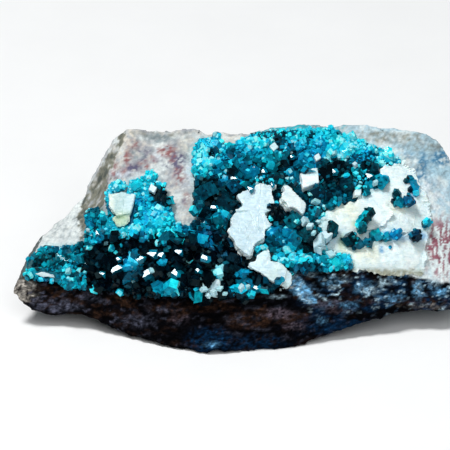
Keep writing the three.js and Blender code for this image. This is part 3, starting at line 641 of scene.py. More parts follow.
# Each mass: height of its cleavage steps in millimetres, share of warm and green tinge, size of
# what shows of it, rounds of smoothing before the steps, and how far its blocks are levelled.
CALCITES = {
    "calcite_big": (0.7, 0.1, 1, 9, 0.85), "calcite_slant": (0.45, 0.2, 1, 8, 0),
    "calcite_low": (0.5, 0.3, 1, 8, 0.5), "calcite_right": (0.5, 0.45, 1, 30, 0.5),
    "calcite_left": (0.4, 0.8, 1, 6, 0), "calcite_foot": (0.4, 0.4, 1.12, 4, 0),
    "calcite_tip": (0.2, 0.1, 1, 3, 0), "calcite_rhomb_1": (0.2, 0, 1, 3, 0),
    "calcite_rhomb_2": (0.1, 0.4, 0.7, 2, 0), "calcite_rhomb_3": (0.08, 0.3, 0.75, 2, 0),
    "calcite_rhomb_4": (0.08, 0.3, 0.75, 2, 0), "calcite_rhomb_5": (0.08, 0.3, 0.75, 2, 0),
}
SPECK_SEED = 11
SPAR = (0.64, 0.81, 0.88)
SPAR_SHADE = (0.5, 0.66, 0.72)
# Blue-grey painted shade over the left mass.
SPAR_PAINTED_SHADE = (0.42, 0.6, 0.6)
# Near-white painted over calcite faces that turn from the key light, as painted light.
SPAR_PAINTED_LIGHT = (0.9, 1, 0.99)
SPAR_WARM = (0.84, 0.88, 0.74)
SPAR_GREEN = (0.56, 0.82, 0.74)
SPAR_TEAL = (0.14, 0.62, 0.66)
SPAR_YELLOW = (0.42, 0.55, 0.3)
SPAR_BROWN = (0.34, 0.34, 0.24)
SPAR_BLUE = (0.02, 0.3, 0.6)
# Stains, and painted light and shade, on the calcite: colour, how patchy, and [u, v, radius along
# u, radius along v] of each.
SPAR_STAINS = [
    (SPAR_PAINTED_SHADE, 0.5, [[-22.4, 29.4, 1.8, 3], [-20.6, 27.6, 3, 1], [-21, 29.6, 2.4, 2.4]]),
    # Painted light on shaded parts of the right mass, the slanting mass and two rhombs.
    (SPAR_PAINTED_LIGHT, 0.4, [
        [34, 26, 9, 5], [34, 18, 9, 4], [35, 34, 5, 5], [16.8, 34, 2.8, 2.6],
        [13.2, 30.2, 3.4, 3.4], [26, 31, 1.2, 1.2],
    ]),
    (SPAR_YELLOW, 0.1, [[-20.9, 26, 2.4, 1.7], [23.4, 21.6, 0.8, 1.6], [26, 25.6, 0.8, 0.8]]),
    (SPAR_WARM, 0.5, [
        [-23.2, 29.6, 1, 2], [24.6, 27.6, 3, 2.6], [25, 19.4, 3, 2], [29, 19.8, 2.4, 2],
        [34, 28.6, 2.4, 1.2],
    ]),
    (SPAR_BROWN, 0.6, [[28, 16, 6, 0.7], [34, 15.6, 5, 0.7], [38, 15.8, 3, 0.6]]),
    (SPAR_BLUE, 1, [
        [33.4, 23, 3.4, 1], [31.2, 20.6, 0.5, 1.6], [37.6, 32.4, 0.6, 1.8], [38.4, 23, 1.8, 0.9],
    ]),
]
# Where the right-hand mass thins out into the stone, as [u, v, radius along u, radius along v,
# depth in millimetres].
THINNED = [[41, 27, 4.4, 8, 0.6], [35, 14.6, 9, 2.2, 0.5], [38, 37, 4, 3, 0.5]]
# Grains of calcite scattered over the druse: [u, v, size in millimetres, share of teal tinge].
SPECKS = [
    [26, 37.2, 0.9, 0.1], [30, 33.6, 1, 0.4], [18.1, 29.8, 1.3, 0.6], [1.1, 28.1, 1, 0.1],
    [21.8, 39.5, 0.7, 0.5], [22.8, 38.6, 0.8, 0.6], [23.8, 39.6, 0.6, 0.5], [3.2, 12.6, 1.2, 0.3],
    [4.5, 12.9, 0.9, 0.5], [-31.2, 16, 0.9, 0.7], [-27, 25.8, 0.7, 0.3], [-27.2, 24.2, 0.8, 0.2],
    [-26.8, 22.8, 0.7, 0.3], [15.9, 25.8, 1.5, 0.2], [16.9, 24.9, 1.2, 0.2], [17.6, 23.6, 0.8, 0.5],
    [18.5, 25.8, 1, 0.4], [18.9, 20.4, 2, 0.15], [20.9, 19.4, 1.4, 0.4], [19.9, 22.8, 2.3, 0.05],
    [18.7, 21.9, 2, 0.15], [-4.2, 12.4, 1.1, 0.3], [-2.8, 13.2, 1, 0.1], [-2.2, 11.8, 1.3, 0.2],
    [-1, 12.6, 1, 0.4], [-3.4, 11.2, 0.9, 0.2], [0, 11.6, 0.8, 0.5], [-2, 43.4, 0.8, 0.6],
    [9.2, 36.6, 0.7, 0.5], [6.4, 33.4, 0.7, 0.6], [12.4, 34.4, 0.7, 0.6], [-14.6, 16.2, 0.9, 0.5],
    [-18.4, 14, 0.8, 0.6],
]
# Faces of a box whose corners are listed along z first, then y, then x.
BOX_FACES = ((0, 1, 3, 2), (4, 6, 7, 5), (0, 4, 5, 1), (2, 3, 7, 6), (0, 2, 6, 4), (1, 5, 7, 3))


def levelled(points, top, u, v, share):
    """Points whose tops are drawn towards one gently curved face, so that none is ridged."""
    rows = np.stack([np.ones(len(u)), u, v, u * u, u * v, v * v], axis=1)
    height = points @ np.array(AWAY)
    face = np.linalg.lstsq(rows * top[:, None], height * top, rcond=None)[0]
    return points + np.outer(share * top * (rows @ face - height), AWAY)


def calcite(node, step, tinge, size, smoothing, level):
    """A calcite mass with stepped cleavage on its faces, in place of its CAD solid."""
    piece = fine_copy(node, node + "_spar", CALCITE_VOXEL, smoothing)
    mesh = piece.data
    points, normals, at, u, v = survey(mesh)
    wobble = np.array([noise.noise_vector(Vector(point) / 2.2) for point in at]) * 0.5
    coarse = terraces(at + wobble, 1.4)
    fine = terraces(at + wobble + 3.3, 0.5)
    # The flat tops are calm, and the broken sides jagged.
    side = smoothstep(0.8, 0.4, -(normals @ np.array(AWAY)))
    points = levelled(points, 1 - side, u, v, level)
    jagged = step * (0.16 + 0.84 * side)
    move = -jagged * coarse - 0.6 * jagged * fine + 0.04 * noise_at(at, 1.4, 4, 3.7)
    if node == "calcite_right":
        move += side * (0.6 + 0.8 * noise_at(at, 2.4, 3, 45.7))
        for *place, depth in THINNED:
            points = points + np.outer(spot(u, v, *place, 0.7), AWAY) * depth * MM
    points = points + normals * move[:, None] * MM
    # A grain that shows smaller than its solid keeps the side that it is seated on.
    seat = points.mean(axis=0) + np.array(AWAY) * np.ptp(points @ np.array(AWAY)) / 2
    move_corners(mesh, seat + (points - seat) * size)
    broad = noise_at(at, 3, 3, 5.5)
    patchy = smoothstep(-0.4, 0.2, noise_at(at, 1.5, 4, 33.1) + 0.4 * broad)
    colours = layered(
        SPAR,
        (SPAR_SHADE, 0.3 * smoothstep(0.1, 0.8, broad)),
        (SPAR_WARM, tinge * patches(at, -0.1, 0.7, 4, 3, 15.5)),
        (SPAR_GREEN, 0.7 * tinge * patches(at, 0, 0.6, 2.4, 3, 25.5)),
        # The broken sides are painted paler, as painted light over their shade.
        (SPAR_PAINTED_LIGHT, 0.7 * side),
    )
    for stain, broken, places in SPAR_STAINS:
        for place in places:
            share = 0.85 * spot(u, v, *place, 0.7) * (1 - broken * (1 - patchy))
            colours = layered(colours, (stain, share))
    colours = layered(colours, (COPPER, 0.45 * halo(mesh, 0.9 * MM)))
    # The deeper-set cleavage steps are painted darker, as painted shade.
    colours *= (1 - 0.09 * fine - 0.05 * coarse)[:, None]
    paint(mesh, np.clip(colours, 0, 1))
    mesh.shade_flat()
    mesh.materials.append(CALCITE_MATERIAL)
    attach(piece, "root")
    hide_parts(node)


def specks():
    """The scattered grains, as little cleavage rhombs half sunk in the druse."""
    random_ = random.Random(SPECK_SEED)
    work = bmesh.new()
    tinges = []
    for u, v, size, tinge in SPECKS:
        seat = CRYSTALS.ray_cast(over(u, v), AWAY)[0]
        if seat is None:
            continue
        turn = Matrix.Rotation(random_.uniform(0, math.tau), 3, AWAY)
        sides = [turn @ way * size * MM * random_.uniform(0.35, 0.6) for way, _ in CLEAVAGES]
        middle = seat - AWAY * (0.2 + 0.3 * size) * MM
        corners = [
            work.verts.new(middle + sides[0] * x + sides[1] * y + sides[2] * z)
            for x in (-1, 1) for y in (-1, 1) for z in (-1, 1)
        ]
        for face in BOX_FACES:
            work.faces.new([corners[index] for index in face])
        tinges.extend([tinge] * len(corners))
    bmesh.ops.recalc_face_normals(work, faces=work.faces)
    mesh = bpy.data.meshes.new("calcite_specks")
    work.to_mesh(mesh)
    work.free()
    paint(mesh, layered(SPAR, (SPAR_TEAL, tinges)))
    mesh.shade_flat()
    mesh.materials.append(CALCITE_MATERIAL)
    piece = linked("calcite_specks", mesh)
    bevel = piece.modifiers.new("edges", "BEVEL")
    bevel.width = 0.05 * MM
    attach(piece, "root")


def calcite_material():
    """White spar, cloudy and flawed inside, which light enters a little way."""
    shader = Shader("calcite")
    pigment = shader.attribute("pigment", "Color")
    cloud = shader.noise(1.2 * MM, 6, 0.65)
    tint = shader.ramp(cloud, [(0.3, (0.78, 0.84, 0.86)), (0.55, (1, 1, 1))])
    colour = shader.mix(0.85, pigment, tint, "MULTIPLY")
    flaws = shader.ramp(shader.noise(1.6 * MM, 3, 0.6, (0.35, 1.5, 1.5)), [
        (0.46, (1, 1, 1)), (0.5, (0.74, 0.8, 0.82)), (0.54, (1, 1, 1)),
    ])
    colour = shader.mix(0.7, colour, flaws, "MULTIPLY")
    roughness = shader.fit(shader.noise(0.5 * MM, 3), 0.3, 0.7, 0.28, 0.5)
    veins = shader.noise(0.9 * MM, 3, 0.5, (0.25, 1.6, 1.6))
    normal = shader.bump(veins, 0.06 * MM, 0.7, shader.bump(cloud, 0.12 * MM, 0.7))
    return shader.surface(
        Base_Color=colour, Roughness=roughness, Normal=normal, IOR=1.6,
        Subsurface_Weight=0.3, Subsurface_Radius=(0.6, 0.8, 1.0), Subsurface_Scale=0.8 * MM,
    )


# -------- dioptase

CAP_PAINTED_LIGHT = 0.07     # painted light: how much paler a small crystal's end faces are than its tone
SIDE_PAINTED_SHADE = -0.05   # and how much darker its sides are, as painted shade
CAP_FALL = 0.62     # drop of the end faces from the tip to their nearer corners, in radii
ACROSS_FLATS = 0.866  # half the width of a crystal between two opposite sides, in radii
SKIN = (0.3 * MM, 2.3 * MM)  # heights over the stone between which the crust is plain skin
SKIN_DEPTH = 1.3 * MM   # height over the stone up to which the skin between the crystals is painted dark, as shade
SKIN_SHADE = (0.35, 0.75)  # share of its tone that a dark and a pale crust keep under that painted shade
SPAR_ROOM = 0.45 * MM   # how far the small crystals keep from the calcite
CREST = (-7, 43)    # u and v past which the druse ends against the sky
HEM_LEVEL = 13      # v below which the druse ends over the dark front
EDGE_SCALE = 0.62   # how small crystals are along both, so that the outline stays calm
BRIGHT_LARGE = 0.1  # how often the crust's large crystals are bright, beside its small ones
ROOT = 0.9          # how deep a crystal goes into what it stands on, in radii
THIRD_TURN = 2.1    # after which a crystal's three end faces lie much as before
# Faces are one facet where their normals, and how far out their planes lie, round to the same step.
FACET_TURNS = 40
FACET_STEP = 0.03 * MM

DRUSE_SEED = 5
# Random places tried for small crystals: on the crust's skin, on its large crystals and on each
# group. The first of the skin's places get crystals of full size, and the others fill the gaps.
SKIN_TRIES = 26000
FULL_SIZED = 6000
FACET_TRIES = 5000
GROUP_TRIES = 60
# The crystals' size there as a share of their zone's, and how far apart they keep, in radii.
FULL = (1, 0.62)
FILLING = (0.55, 0.75)
ON_CRUST = (0.6, 1.2)
ON_GROUP = (0.6, 1.3)

# Zones of the druse: outline on the layout plane, tone from black to pale, spread of tone, radii of
# its crystals, share of them that are bright whatever lies around them, and range of gloss.
Zone = namedtuple("Zone", "outline tone spread radii bright gloss")
ZONES = [
    # In the calcite.
    Zone([[26, 15], [14.6, 17], [14.6, 27], [22, 31], [33, 37.4], [44, 37], [44, 15]],
         0.42, 0.12, (0.5, 0.9), 0.2, (0, 0.1)),
    # Along the crest: paler, partly as painted light on crystals that face up.
    Zone([[-7, 50], [-7, 35.4], [1, 38], [21, 38.4], [37, 37], [37, 50]],
         0.69, 0.2, (0.35, 0.95), 0.25, (0, 0.1)),
    # The middle.
    Zone([[-7, 35.4], [-7, 25], [3, 19.6], [14, 15], [28, 15], [37, 37], [21, 38.4], [1, 38]],
         0.26, 0.17, (0.55, 1.3), 0.16, (0, 0.12)),
    # The upper-left patch.
    Zone([[-25, 38], [-25, 23], [-9, 22.6], [-9, 38]],
         0.8, 0.18, (0.35, 0.85), 0.3, (0, 0.15)),
    # The patch at the pointed end.
    Zone([[-45, 10], [-45, 23], [-29.4, 32], [-24.6, 32], [-24.6, 22], [-28, 20], [-28, 10]],
         0.4, 0.16, (0.4, 0.8), 0.1, (0, 0.08)),
    # The dark druse at the lower left: the crystals' own deep green, darkened further as painted
    # shade of its steep face.
    Zone([[-28, 8], [-28, 20], [-24.6, 23], [-9, 22.6], [-7, 26], [3, 19.6], [14, 15], [6, 8]],
         -0.05, 0.05, (0.7, 1.5), 0.04, (0, 0.05)),
]
HEART = 2  # the zone of whatever lies in none
# Where the tone departs from its zone's: [u, v, radius along u, radius along v, tone, hue from
# green to blue].
# Tones near 1 give the palest crystals, which are partly painted highlights.
TONES = [
    [21, 25.6, 1.4, 2.4, 0.1, -0.7], [28.7, 27, 1.5, 1.9, 0.26, -0.8],
    [27.2, 24.4, 1.4, 1.2, 0.4, -0.6], [24.8, 22.2, 1.9, 1.7, 0.2, -0.3],
    [30.4, 23.8, 1.3, 1.3, 0.4, -0.6], [34.2, 23.4, 2.4, 1.3, 0.55, 1],
    [38.4, 23, 1.6, 1.1, 0.14, 0.7], [40.7, 25.8, 1.2, 1.2, 0.66, 0],
    [34.2, 31.8, 1.6, 1.6, 0.3, -0.4], [36.9, 30.6, 1.8, 1.2, 0.42, 0.7],
    [-21, 33, 2.4, 1.4, 0.85, 0], [-14.3, 34, 2.5, 0.8, 0.78, 0], [-13.6, 28.8, 5, 3.6, 0.62, 0.1],
    [-17.3, 29.8, 1.3, 1.2, 0.64, 0.6], [-12.2, 30.6, 2.2, 1.8, 0.06, 0],
    [-10.2, 28.9, 1, 1.9, 0.75, 0], [-13, 27.1, 3.2, 1.5, 0.74, 0.1], [-17.8, 27.7, 1, 1.5, 0.3, 0],
    [-19.2, 24.5, 1.4, 1.3, 0.85, 0], [-15.4, 24.8, 1.4, 0.8, 0.62, 0.2],
    [-16.2, 22.8, 1.6, 1.2, 0.48, 0.8], [-24.7, 24.8, 2.1, 2.8, 0.5, 0],
    [-23.6, 28.2, 1.2, 1.8, 0.2, -0.3], [-34.5, 18.4, 5.3, 3.8, 0.4, 0],
    [-37.2, 17.8, 1.2, 1.2, 0.15, 0], [-34.4, 19.2, 0.8, 0.8, 0.1, 0.3],
    [-31.7, 17.1, 2.1, 0.7, 0.4, 0], [-38.9, 15.7, 1.1, 0.7, 0.85, 0],
    [-31.2, 16.1, 1, 0.9, 0.75, -0.4], [-28.6, 13.2, 1.6, 0.6, 0.5, 0],
    [-11.2, 22, 1.8, 1.6, 0.3, 0.1], [-2.8, 22.8, 4, 1.9, 0.04, 0.2],
    [-7.5, 23.8, 1.5, 1, 0.6, 0.8], [-4.4, 23.7, 1.2, 0.9, 0.5, 0.8],
    [-3.9, 21.7, 1.3, 0.7, 0.6, 0.3], [-18.5, 16.8, 1.2, 3, 0.85, 0.6],
    [-12.7, 17.9, 0.7, 0.9, 0.7, 0.6], [-9.2, 15.2, 1, 1.2, 0.94, 0.7],
    [-12, 12.6, 2.2, 1.5, 0.58, 0], [-9.9, 12.4, 0.9, 1, 0.85, 0], [-5.3, 11, 1.5, 1, 0.42, 0],
    [-1.4, 15.9, 1.4, 1.2, 0.94, 0.4], [-3.7, 18.3, 0.8, 0.7, 0.96, 0.5],
    [0.6, 17.6, 1.2, 1.2, 0.28, 0], [3.6, 15.4, 1.8, 1.4, 0.5, 0.2], [4.2, 12.5, 3.4, 1.7, 0.56, 0],
    [3.7, 12.7, 1.3, 0.9, 0.82, 0], [8.4, 11.7, 1.2, 0.7, 0.7, -0.1],
    [7.2, 20.9, 1.4, 1.3, 0.75, 0.2], [11.2, 22.7, 3, 1.9, 0.5, 0.6], [13.6, 19, 4.2, 2, 0.86, 0.1],
    [10.3, 27, 2.1, 1.8, 0.04, 0], [13.7, 27, 1.3, 1.6, 0.2, -0.6],
    [16.6, 22.3, 2.2, 2.9, 0.08, -0.5], [12.1, 25.3, 2.1, 0.7, 0.38, 0],
    [15.4, 16.9, 2.6, 0.9, 0.3, 0.4], [23, 18, 3, 1.4, 0.75, -0.1], [3.6, 18.5, 2.6, 1.9, 0.05, 0],
    [-3.5, 42.1, 3.1, 1.5, 0.8, 0], [-4, 38.3, 2.8, 2.5, 0.94, 0], [-2.6, 39.6, 1, 0.8, 0.03, 0],
    [-3.8, 35.1, 2.8, 0.9, 0.7, 0.3], [1.8, 38.9, 2.6, 1.9, 0.45, 0.3],
    [5.7, 41.6, 1.9, 1.6, 0.86, 0], [5.5, 43.6, 0.7, 0.6, 0.2, 0], [10.8, 42.1, 1.4, 1.1, 0.1, 0],
    [16.4, 43.2, 5.2, 2, 0.74, 0.1], [8.2, 38.1, 3.8, 2.1, 0.48, 0],
    [5.9, 35.5, 2.7, 1.1, 0.6, 0.5], [-1.3, 33.8, 4.7, 1, 0.03, 0],
    [1.4, 33.4, 1.8, 1.2, 0.35, 0.7], [-5, 31.8, 1.2, 1.4, 0.3, 0],
    [-0.1, 30.2, 4.2, 2.1, 0.07, -0.4], [-0.6, 27.3, 1.3, 0.9, 0.78, 0],
    [-1.9, 25.8, 3.1, 1.2, 0.4, 0.1], [-3.7, 27.9, 1.7, 0.9, 0.14, -0.3],
    [13.3, 37.8, 1.1, 3.2, 0.14, 0.1], [16.6, 38.5, 2.2, 2.5, 0.55, 0.7],
    [21.5, 36.6, 2.5, 2.4, 0.06, -0.3], [21.8, 32.6, 3.2, 2.4, 0.24, 0],
    [11.1, 32.4, 1.1, 0.8, 0.12, -0.4], [11.2, 29.6, 1, 0.8, 0.35, 0],
    [17.3, 43.2, 0.5, 0.8, 0.15, 0], [25.6, 41.3, 4.2, 2.1, 0.9, 0],
    [27.5, 39, 2.3, 1.3, 0.62, 0.5], [29.4, 36.8, 1.2, 1, 0.1, 0],
    [33.4, 38.6, 3.2, 2.2, 0.98, 0.1], [29.6, 34.2, 2.8, 2, 0.5, 0.1],
    [24.5, 29.9, 0.9, 1.3, 0.2, 0],
]
# Crystals that mirror the key light: [u, v, length, width, turn in degrees].
GLINTS = [
    [-14.2, 19.3, 1.8, 1.7, 60], [-12.5, 19.1, 1.5, 0.9, 70], [-16.6, 18.3, 1.9, 1, 25],
    [-8.9, 19.7, 1.5, 1.2, 55], [-21.3, 16.2, 2.7, 1, 28], [-15.1, 15.4, 2.8, 1.1, 35],
    [-21, 18.2, 1, 0.7, 30], [-24.2, 15.3, 1, 1, 50], [-3.7, 18.3, 1.8, 0.8, -25],
    [-25.1, 23.3, 0.9, 0.8, 0], [-21.1, 22.8, 0.8, 0.8, 0], [-9.3, 15.2, 1.9, 1.4, -40],
    [9.6, 33, 0.6, 0.6, 0], [5.3, 32.2, 1.1, 0.9, 30], [22.1, 35.6, 1, 0.8, 0],
    [-2, 28.4, 1.4, 0.6, -5], [13.6, 38.6, 0.8, 0.6, 10], [8, 35.6, 1, 0.7, -10],
    [2, 34.2, 1.4, 0.5, -5], [29.2, 34.8, 1.5, 1.2, 30], [3.4, 12.8, 1, 0.7, -20],
    [6.4, 12.4, 1.2, 0.7, -25], [-5, 15.8, 1.2, 0.9, -50],
]
GLINT_LOOK = (0.45, 0.1, 0.3)  # tone, hue and gloss
# Crystals that stand by themselves in the calcite, most of them closing the ring at the right:
# [u, v, radius, height, tone, hue].
LONE_CRYSTALS = [
    [37, 34.4, 0.9, 1.1, 0.3, 0.3], [36.2, 34, 0.6, 0.8, 0.12, -0.3],
    [37.7, 33.7, 0.8, 1, 0.55, 0.5], [38, 32.7, 0.95, 1.2, 0.58, 0.5],
    [38.2, 31.6, 0.75, 0.9, 0.7, 0.4], [37.1, 32.3, 0.7, 0.8, 0.15, 0.6],
    [33.6, 29.9, 0.6, 0.9, 0.1, 0], [35.8, 29.2, 0.5, 0.8, 0.25, -0.1],
    [10.6, 14.1, 0.9, 1, 0.35, 0.3], [11.3, 14.4, 0.6, 0.8, 0.55, 0.2],
    [32.9, 20.8, 0.4, 0.6, 0.6, 0.6],
]
LONE_GLOSS = 0.1


def crystal_shape(radius, height, root):
    """Corners and faces of a six-sided crystal with three rhombic end faces, standing on z = 0."""
    turns = [k * math.pi / 3 for k in range(6)]
    ring = [(radius * math.cos(turn), radius * math.sin(turn)) for turn in turns]
    falls = [radius * CAP_FALL * (1 if k % 2 else 2) for k in range(6)]
    upper = [(x, y, height - fall) for (x, y), fall in zip(ring, falls)]
    lower = [(x, y, -root) for x, y in ring]
    faces = [[0, 1 + k, 1 + (k + 1) % 6, 1 + (k + 2) % 6] for k in (1, 3, 5)]
    faces += [[1 + k, 7 + k, 7 + (k + 1) % 6, 1 + (k + 1) % 6] for k in range(6)]
    faces.append([12, 11, 10, 9, 8, 7])
    return [(0, 0, height)] + upper + lower, faces


class Druse:
    """Crystals gathered into one mesh, each a closed body, with a look for each face."""

    def __init__(self):
        self.corners = []
        self.faces = []
        self.looks = {"tone": [], "hue": [], "gloss": []}

    def look(self, *look):
        for values, value in zip(self.looks.values(), look):
            values.append(value)

    def add(self, matrix, shape, look, random_, facet_spread=0.1):
        start = len(self.corners)
        corners, faces = shape
        tone, hue, gloss = look
        self.corners.extend(matrix @ Vector(corner) for corner in corners)
        for number, face in enumerate(faces):
            self.faces.append([start + index for index in face])
            # End faces get painted light, sides painted shade.
            lift = CAP_PAINTED_LIGHT if number < 3 else SIDE_PAINTED_SHADE
            facet_tone = tone + lift + random_.gauss(0, facet_spread)
            self.look(facet_tone, hue + random_.gauss(0, 0.15), gloss)

    def add_copy(self, node, stone, random_):
        """The CAD solid's own crystals, with a look for each flat facet, and painted shade on the
        skin between them.
        """
        work = bmesh.new()
        work.from_mesh(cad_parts[node].data)
        bmesh.ops.remove_doubles(work, verts=work.verts, dist=1e-6)
        start = len(self.corners)
        self.corners.extend(vertex.co.copy() for vertex in work.verts)
        middles = [face.calc_center_median() for face in work.faces]
        looks = looks_at(middles, random_, BRIGHT_LARGE if node == CRUST else 0)
        facets = {}
        for face, middle, look in zip(work.faces, middles, looks):
            offset = round(face.normal.dot(middle) / FACET_STEP)
            key = (*(round(FACET_TURNS * part) for part in face.normal), offset)
            tone, hue, gloss = facets.setdefault(key, look)
            # The skin between the crystals, where it faces the camera, is darkened as painted
            # shade.
            skin = node == CRUST and stone.find_nearest(middle)[3] < SKIN_DEPTH
            if skin and face.normal.dot(AWAY) < 0:
                tone *= SKIN_SHADE[0] + (SKIN_SHADE[1] - SKIN_SHADE[0]) * tone
            self.faces.append([start + vertex.index for vertex in face.verts])
            self.look(tone, hue, gloss)
        work.free()

    def piece(self, name, node):
        mesh = bpy.data.meshes.new(name)
        mesh.from_pydata(self.corners, [], self.faces)
        for attribute, values in self.looks.items():
            layer = mesh.attributes.new(attribute, "FLOAT", "FACE")
            layer.data.foreach_set("value", np.clip(values, -1, 1))
        mesh.shade_flat()
        mesh.materials.append(DIOPTASE_MATERIAL)
        piece = linked(name, mesh)
        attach(piece, "root")
        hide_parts(node)


def zones_at(u, v):
    """Index of the zone that each place lies in. The first of two zones that overlap counts."""
    zones = np.full(len(u), HEART)
    for index, zone in reversed(list(enumerate(ZONES))):
        zones[inside(zone.outline, u, v)] = index
    return zones


def looks_at(points, random_, bright_scale=1):
    """A look for each point: tone from black to pale, hue from green to blue, and gloss."""
    at = construction(points)
    u, v = layout(points)
    zones = zones_at(u, v)
    tones = np.array([zone.tone for zone in ZONES])[zones]
    spreads = np.array([zone.spread for zone in ZONES])[zones]
    free = np.ones(len(u))
    hues = np.zeros(len(u))
    for *place, tone, hue in TONES:
        share = spot(u, v, *place, 0.3)
        tones += share * (tone - tones)
        hues += share * (hue - hues)
        free *= 1 - 0.75 * share
    tones = tones + spreads * free * 1.9 * noise_at(at, 2.2, 3, 6.1)
    hues = hues + 0.7 * noise_at(at, 3, 2, 16.1)
    looks = []
    for index, tone, hue, freedom in zip(zones, tones, hues, free):
        zone = ZONES[index]
        tone += random_.gauss(0, 0.06)
        if random_.random() < zone.bright * bright_scale * freedom:
            tone = random_.uniform(0.7, 0.96)
            hue += 0.25
        looks.append((tone, hue, random_.uniform(*zone.gloss)))
    return looks


def surface_points(node, count, random_):
    """Random places all over a solid, each with the way its face looks."""
    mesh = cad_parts[node].data
    mesh.calc_loop_triangles()
    places = [vertex.co for vertex in mesh.vertices]
    triangles = [[places[index] for index in face.vertices] for face in mesh.loop_triangles]
    areas = [(b - a).cross(c - a).length for a, b, c in triangles]
    for a, b, c in random_.choices(triangles, areas, k=count):
        s, t = random_.random(), random_.random()
        if s + t > 1:
            s, t = 1 - s, 1 - t
        yield a + (b - a) * s + (c - a) * t, (b - a).cross(c - a).normalized()


def skin_points(stone, spar, random_):
    """Random places on the crust's plain skin, each with the way out of the stone and with how far
    crystals have grown there: least along the crust's thin edge."""
    places = []
    for point, normal in surface_points(CRUST, SKIN_TRIES, random_):
        below, _, _, distance = stone.find_nearest(point)
        crowded = spar.find_nearest(point, SPAR_ROOM)[3] is not None
        outward = (point - below).dot(normal) > 0.5 * distance
        if SKIN[0] < distance < SKIN[1] and outward and not crowded:
            grown = 0.45 + 0.55 * smoothstep(0.5 * MM, 1.3 * MM, distance)
            places.append((point, (point - below).normalized(), grown))
    return places


def facet_points(node, stone, count, random_):
    """Random places on the large crystals of a crust or a group."""
    places = []
    for point, normal in surface_points(node, count, random_):
        _, v = layout([point])
        if v[0] > HEM_LEVEL and (node != CRUST or stone.find_nearest(point)[3] > SKIN[1]):
            places.append((point, normal, 1))
    return places


def clear_of_glints(places):
    """The places that leave each glint free to the view."""
    u, v = layout([point for point, _, _ in places])
    free = np.ones(len(places), bool)
    for glint_u, glint_v, length, width, _ in GLINTS:
        free &= np.hypot(u - glint_u, v - glint_v) > 0.38 * (length + width)
    return [place for place, clear in zip(places, free) if clear]


def zoned_radius(point, scale, random_):
    """A radius in the range of the point's zone, smaller along the crest and the hem."""
    u, v = layout([point])
    crested = u[0] > CREST[0] and v[0] > CREST[1]
    edge = EDGE_SCALE if crested or v[0] < HEM_LEVEL else 1
    return random_.uniform(*ZONES[zones_at(u, v)[0]].radii) * scale * edge * MM


def spread_out(places, scale, closeness, random_):
    """Gives each place a radius and keeps those that lie clear enough of the ones before."""
    kept, cells = [], {}
    for point, normal, grown in places:
        radius = zoned_radius(point, scale, random_) * grown
        cell = tuple(int(part // (2 * MM)) for part in point)
        near = [
            other for x in (-1, 0, 1) for y in (-1, 0, 1) for z in (-1, 0, 1)
            for other in cells.get((cell[0] + x, cell[1] + y, cell[2] + z), ())
        ]
        if all((point - other).length > closeness * (radius + reach) for other, reach in near):
            kept.append((point, normal, radius))
            cells.setdefault(cell, []).append((point, radius))
    return kept


def leaned(normal, lean, random_):
    """A direction within a random lean of the normal."""
    way = Vector([random_.gauss(0, lean) for _ in range(3)])
    return (normal + way).normalized()


def standing(point, up, spin):
    """Matrix of a crystal that stands at a point."""
    across = UPWARD.cross(up).normalized()
    basis = Matrix((across, up.cross(across), up)).transposed().to_4x4()
    return Matrix.Translation(point) @ basis @ Matrix.Rotation(spin, 4, "Z")


def grow(druse, places, scale, closeness, random_):
    """Small crystals at those of the places that have room, unevenly developed."""
    seats = spread_out(places, scale, closeness, random_)
    looks = looks_at([point for point, _, _ in seats], random_)
    for (point, normal, radius), look in zip(seats, looks):
        up = leaned(normal, 0.5, random_)
        height = radius * random_.uniform(0.8, 1.7)
        uneven = Matrix.Diagonal((random_.uniform(0.6, 1.25), random_.uniform(0.7, 1.25), 1, 1))
        matrix = standing(point, up, random_.uniform(0, THIRD_TURN)) @ uneven
        druse.add(matrix, crystal_shape(radius, height, ROOT * radius), look, random_)


def lone_crystals(druse, spar, random_):
    """Single crystals, which stand straight out of the calcite."""
    for u, v, radius, height, tone, hue in LONE_CRYSTALS:
        seat, normal, _, _ = spar.ray_cast(over(u, v), AWAY)
        up = leaned(normal - AWAY, 0.2, random_)
        matrix = standing(seat, up, random_.uniform(0, THIRD_TURN))
        shape = crystal_shape(radius * MM, height * MM, ROOT * radius * MM)
        druse.add(matrix, shape, (tone, hue, LONE_GLOSS), random_)


def glints(druse, ground, random_):
    """Prisms that lie with one side square to the half-way direction of light and view."""
    to_light = (KEY_PLACE - TARGET).normalized()
    half_way = (to_light - AWAY).normalized()
    for u, v, length, width, turn in GLINTS:
        seat = ground.ray_cast(over(u, v), AWAY)[0]
        if seat is None:
            continue
        turned = math.radians(turn)
        along = ALONG * math.cos(turned) + UPWARD * math.sin(turned)
        axis = (along - half_way * along.dot(half_way)).normalized()
        side = axis.cross(half_way)
        x_axis = half_way * math.cos(math.pi / 6) - side * math.sin(math.pi / 6)
        y_axis = half_way * math.sin(math.pi / 6) + side * math.cos(math.pi / 6)
        basis = Matrix((x_axis, y_axis, axis)).transposed().to_4x4()
        radius = width * MM
        lift = 0.65 * MM + 0.5 * radius
        middle = seat + half_way * (lift - ACROSS_FLATS * radius) - axis * (length * MM / 2)
        shape = crystal_shape(radius, length * MM + 0.3 * radius, 0)
        druse.add(Matrix.Translation(middle) @ basis, shape, GLINT_LOOK, random_, 0.05)


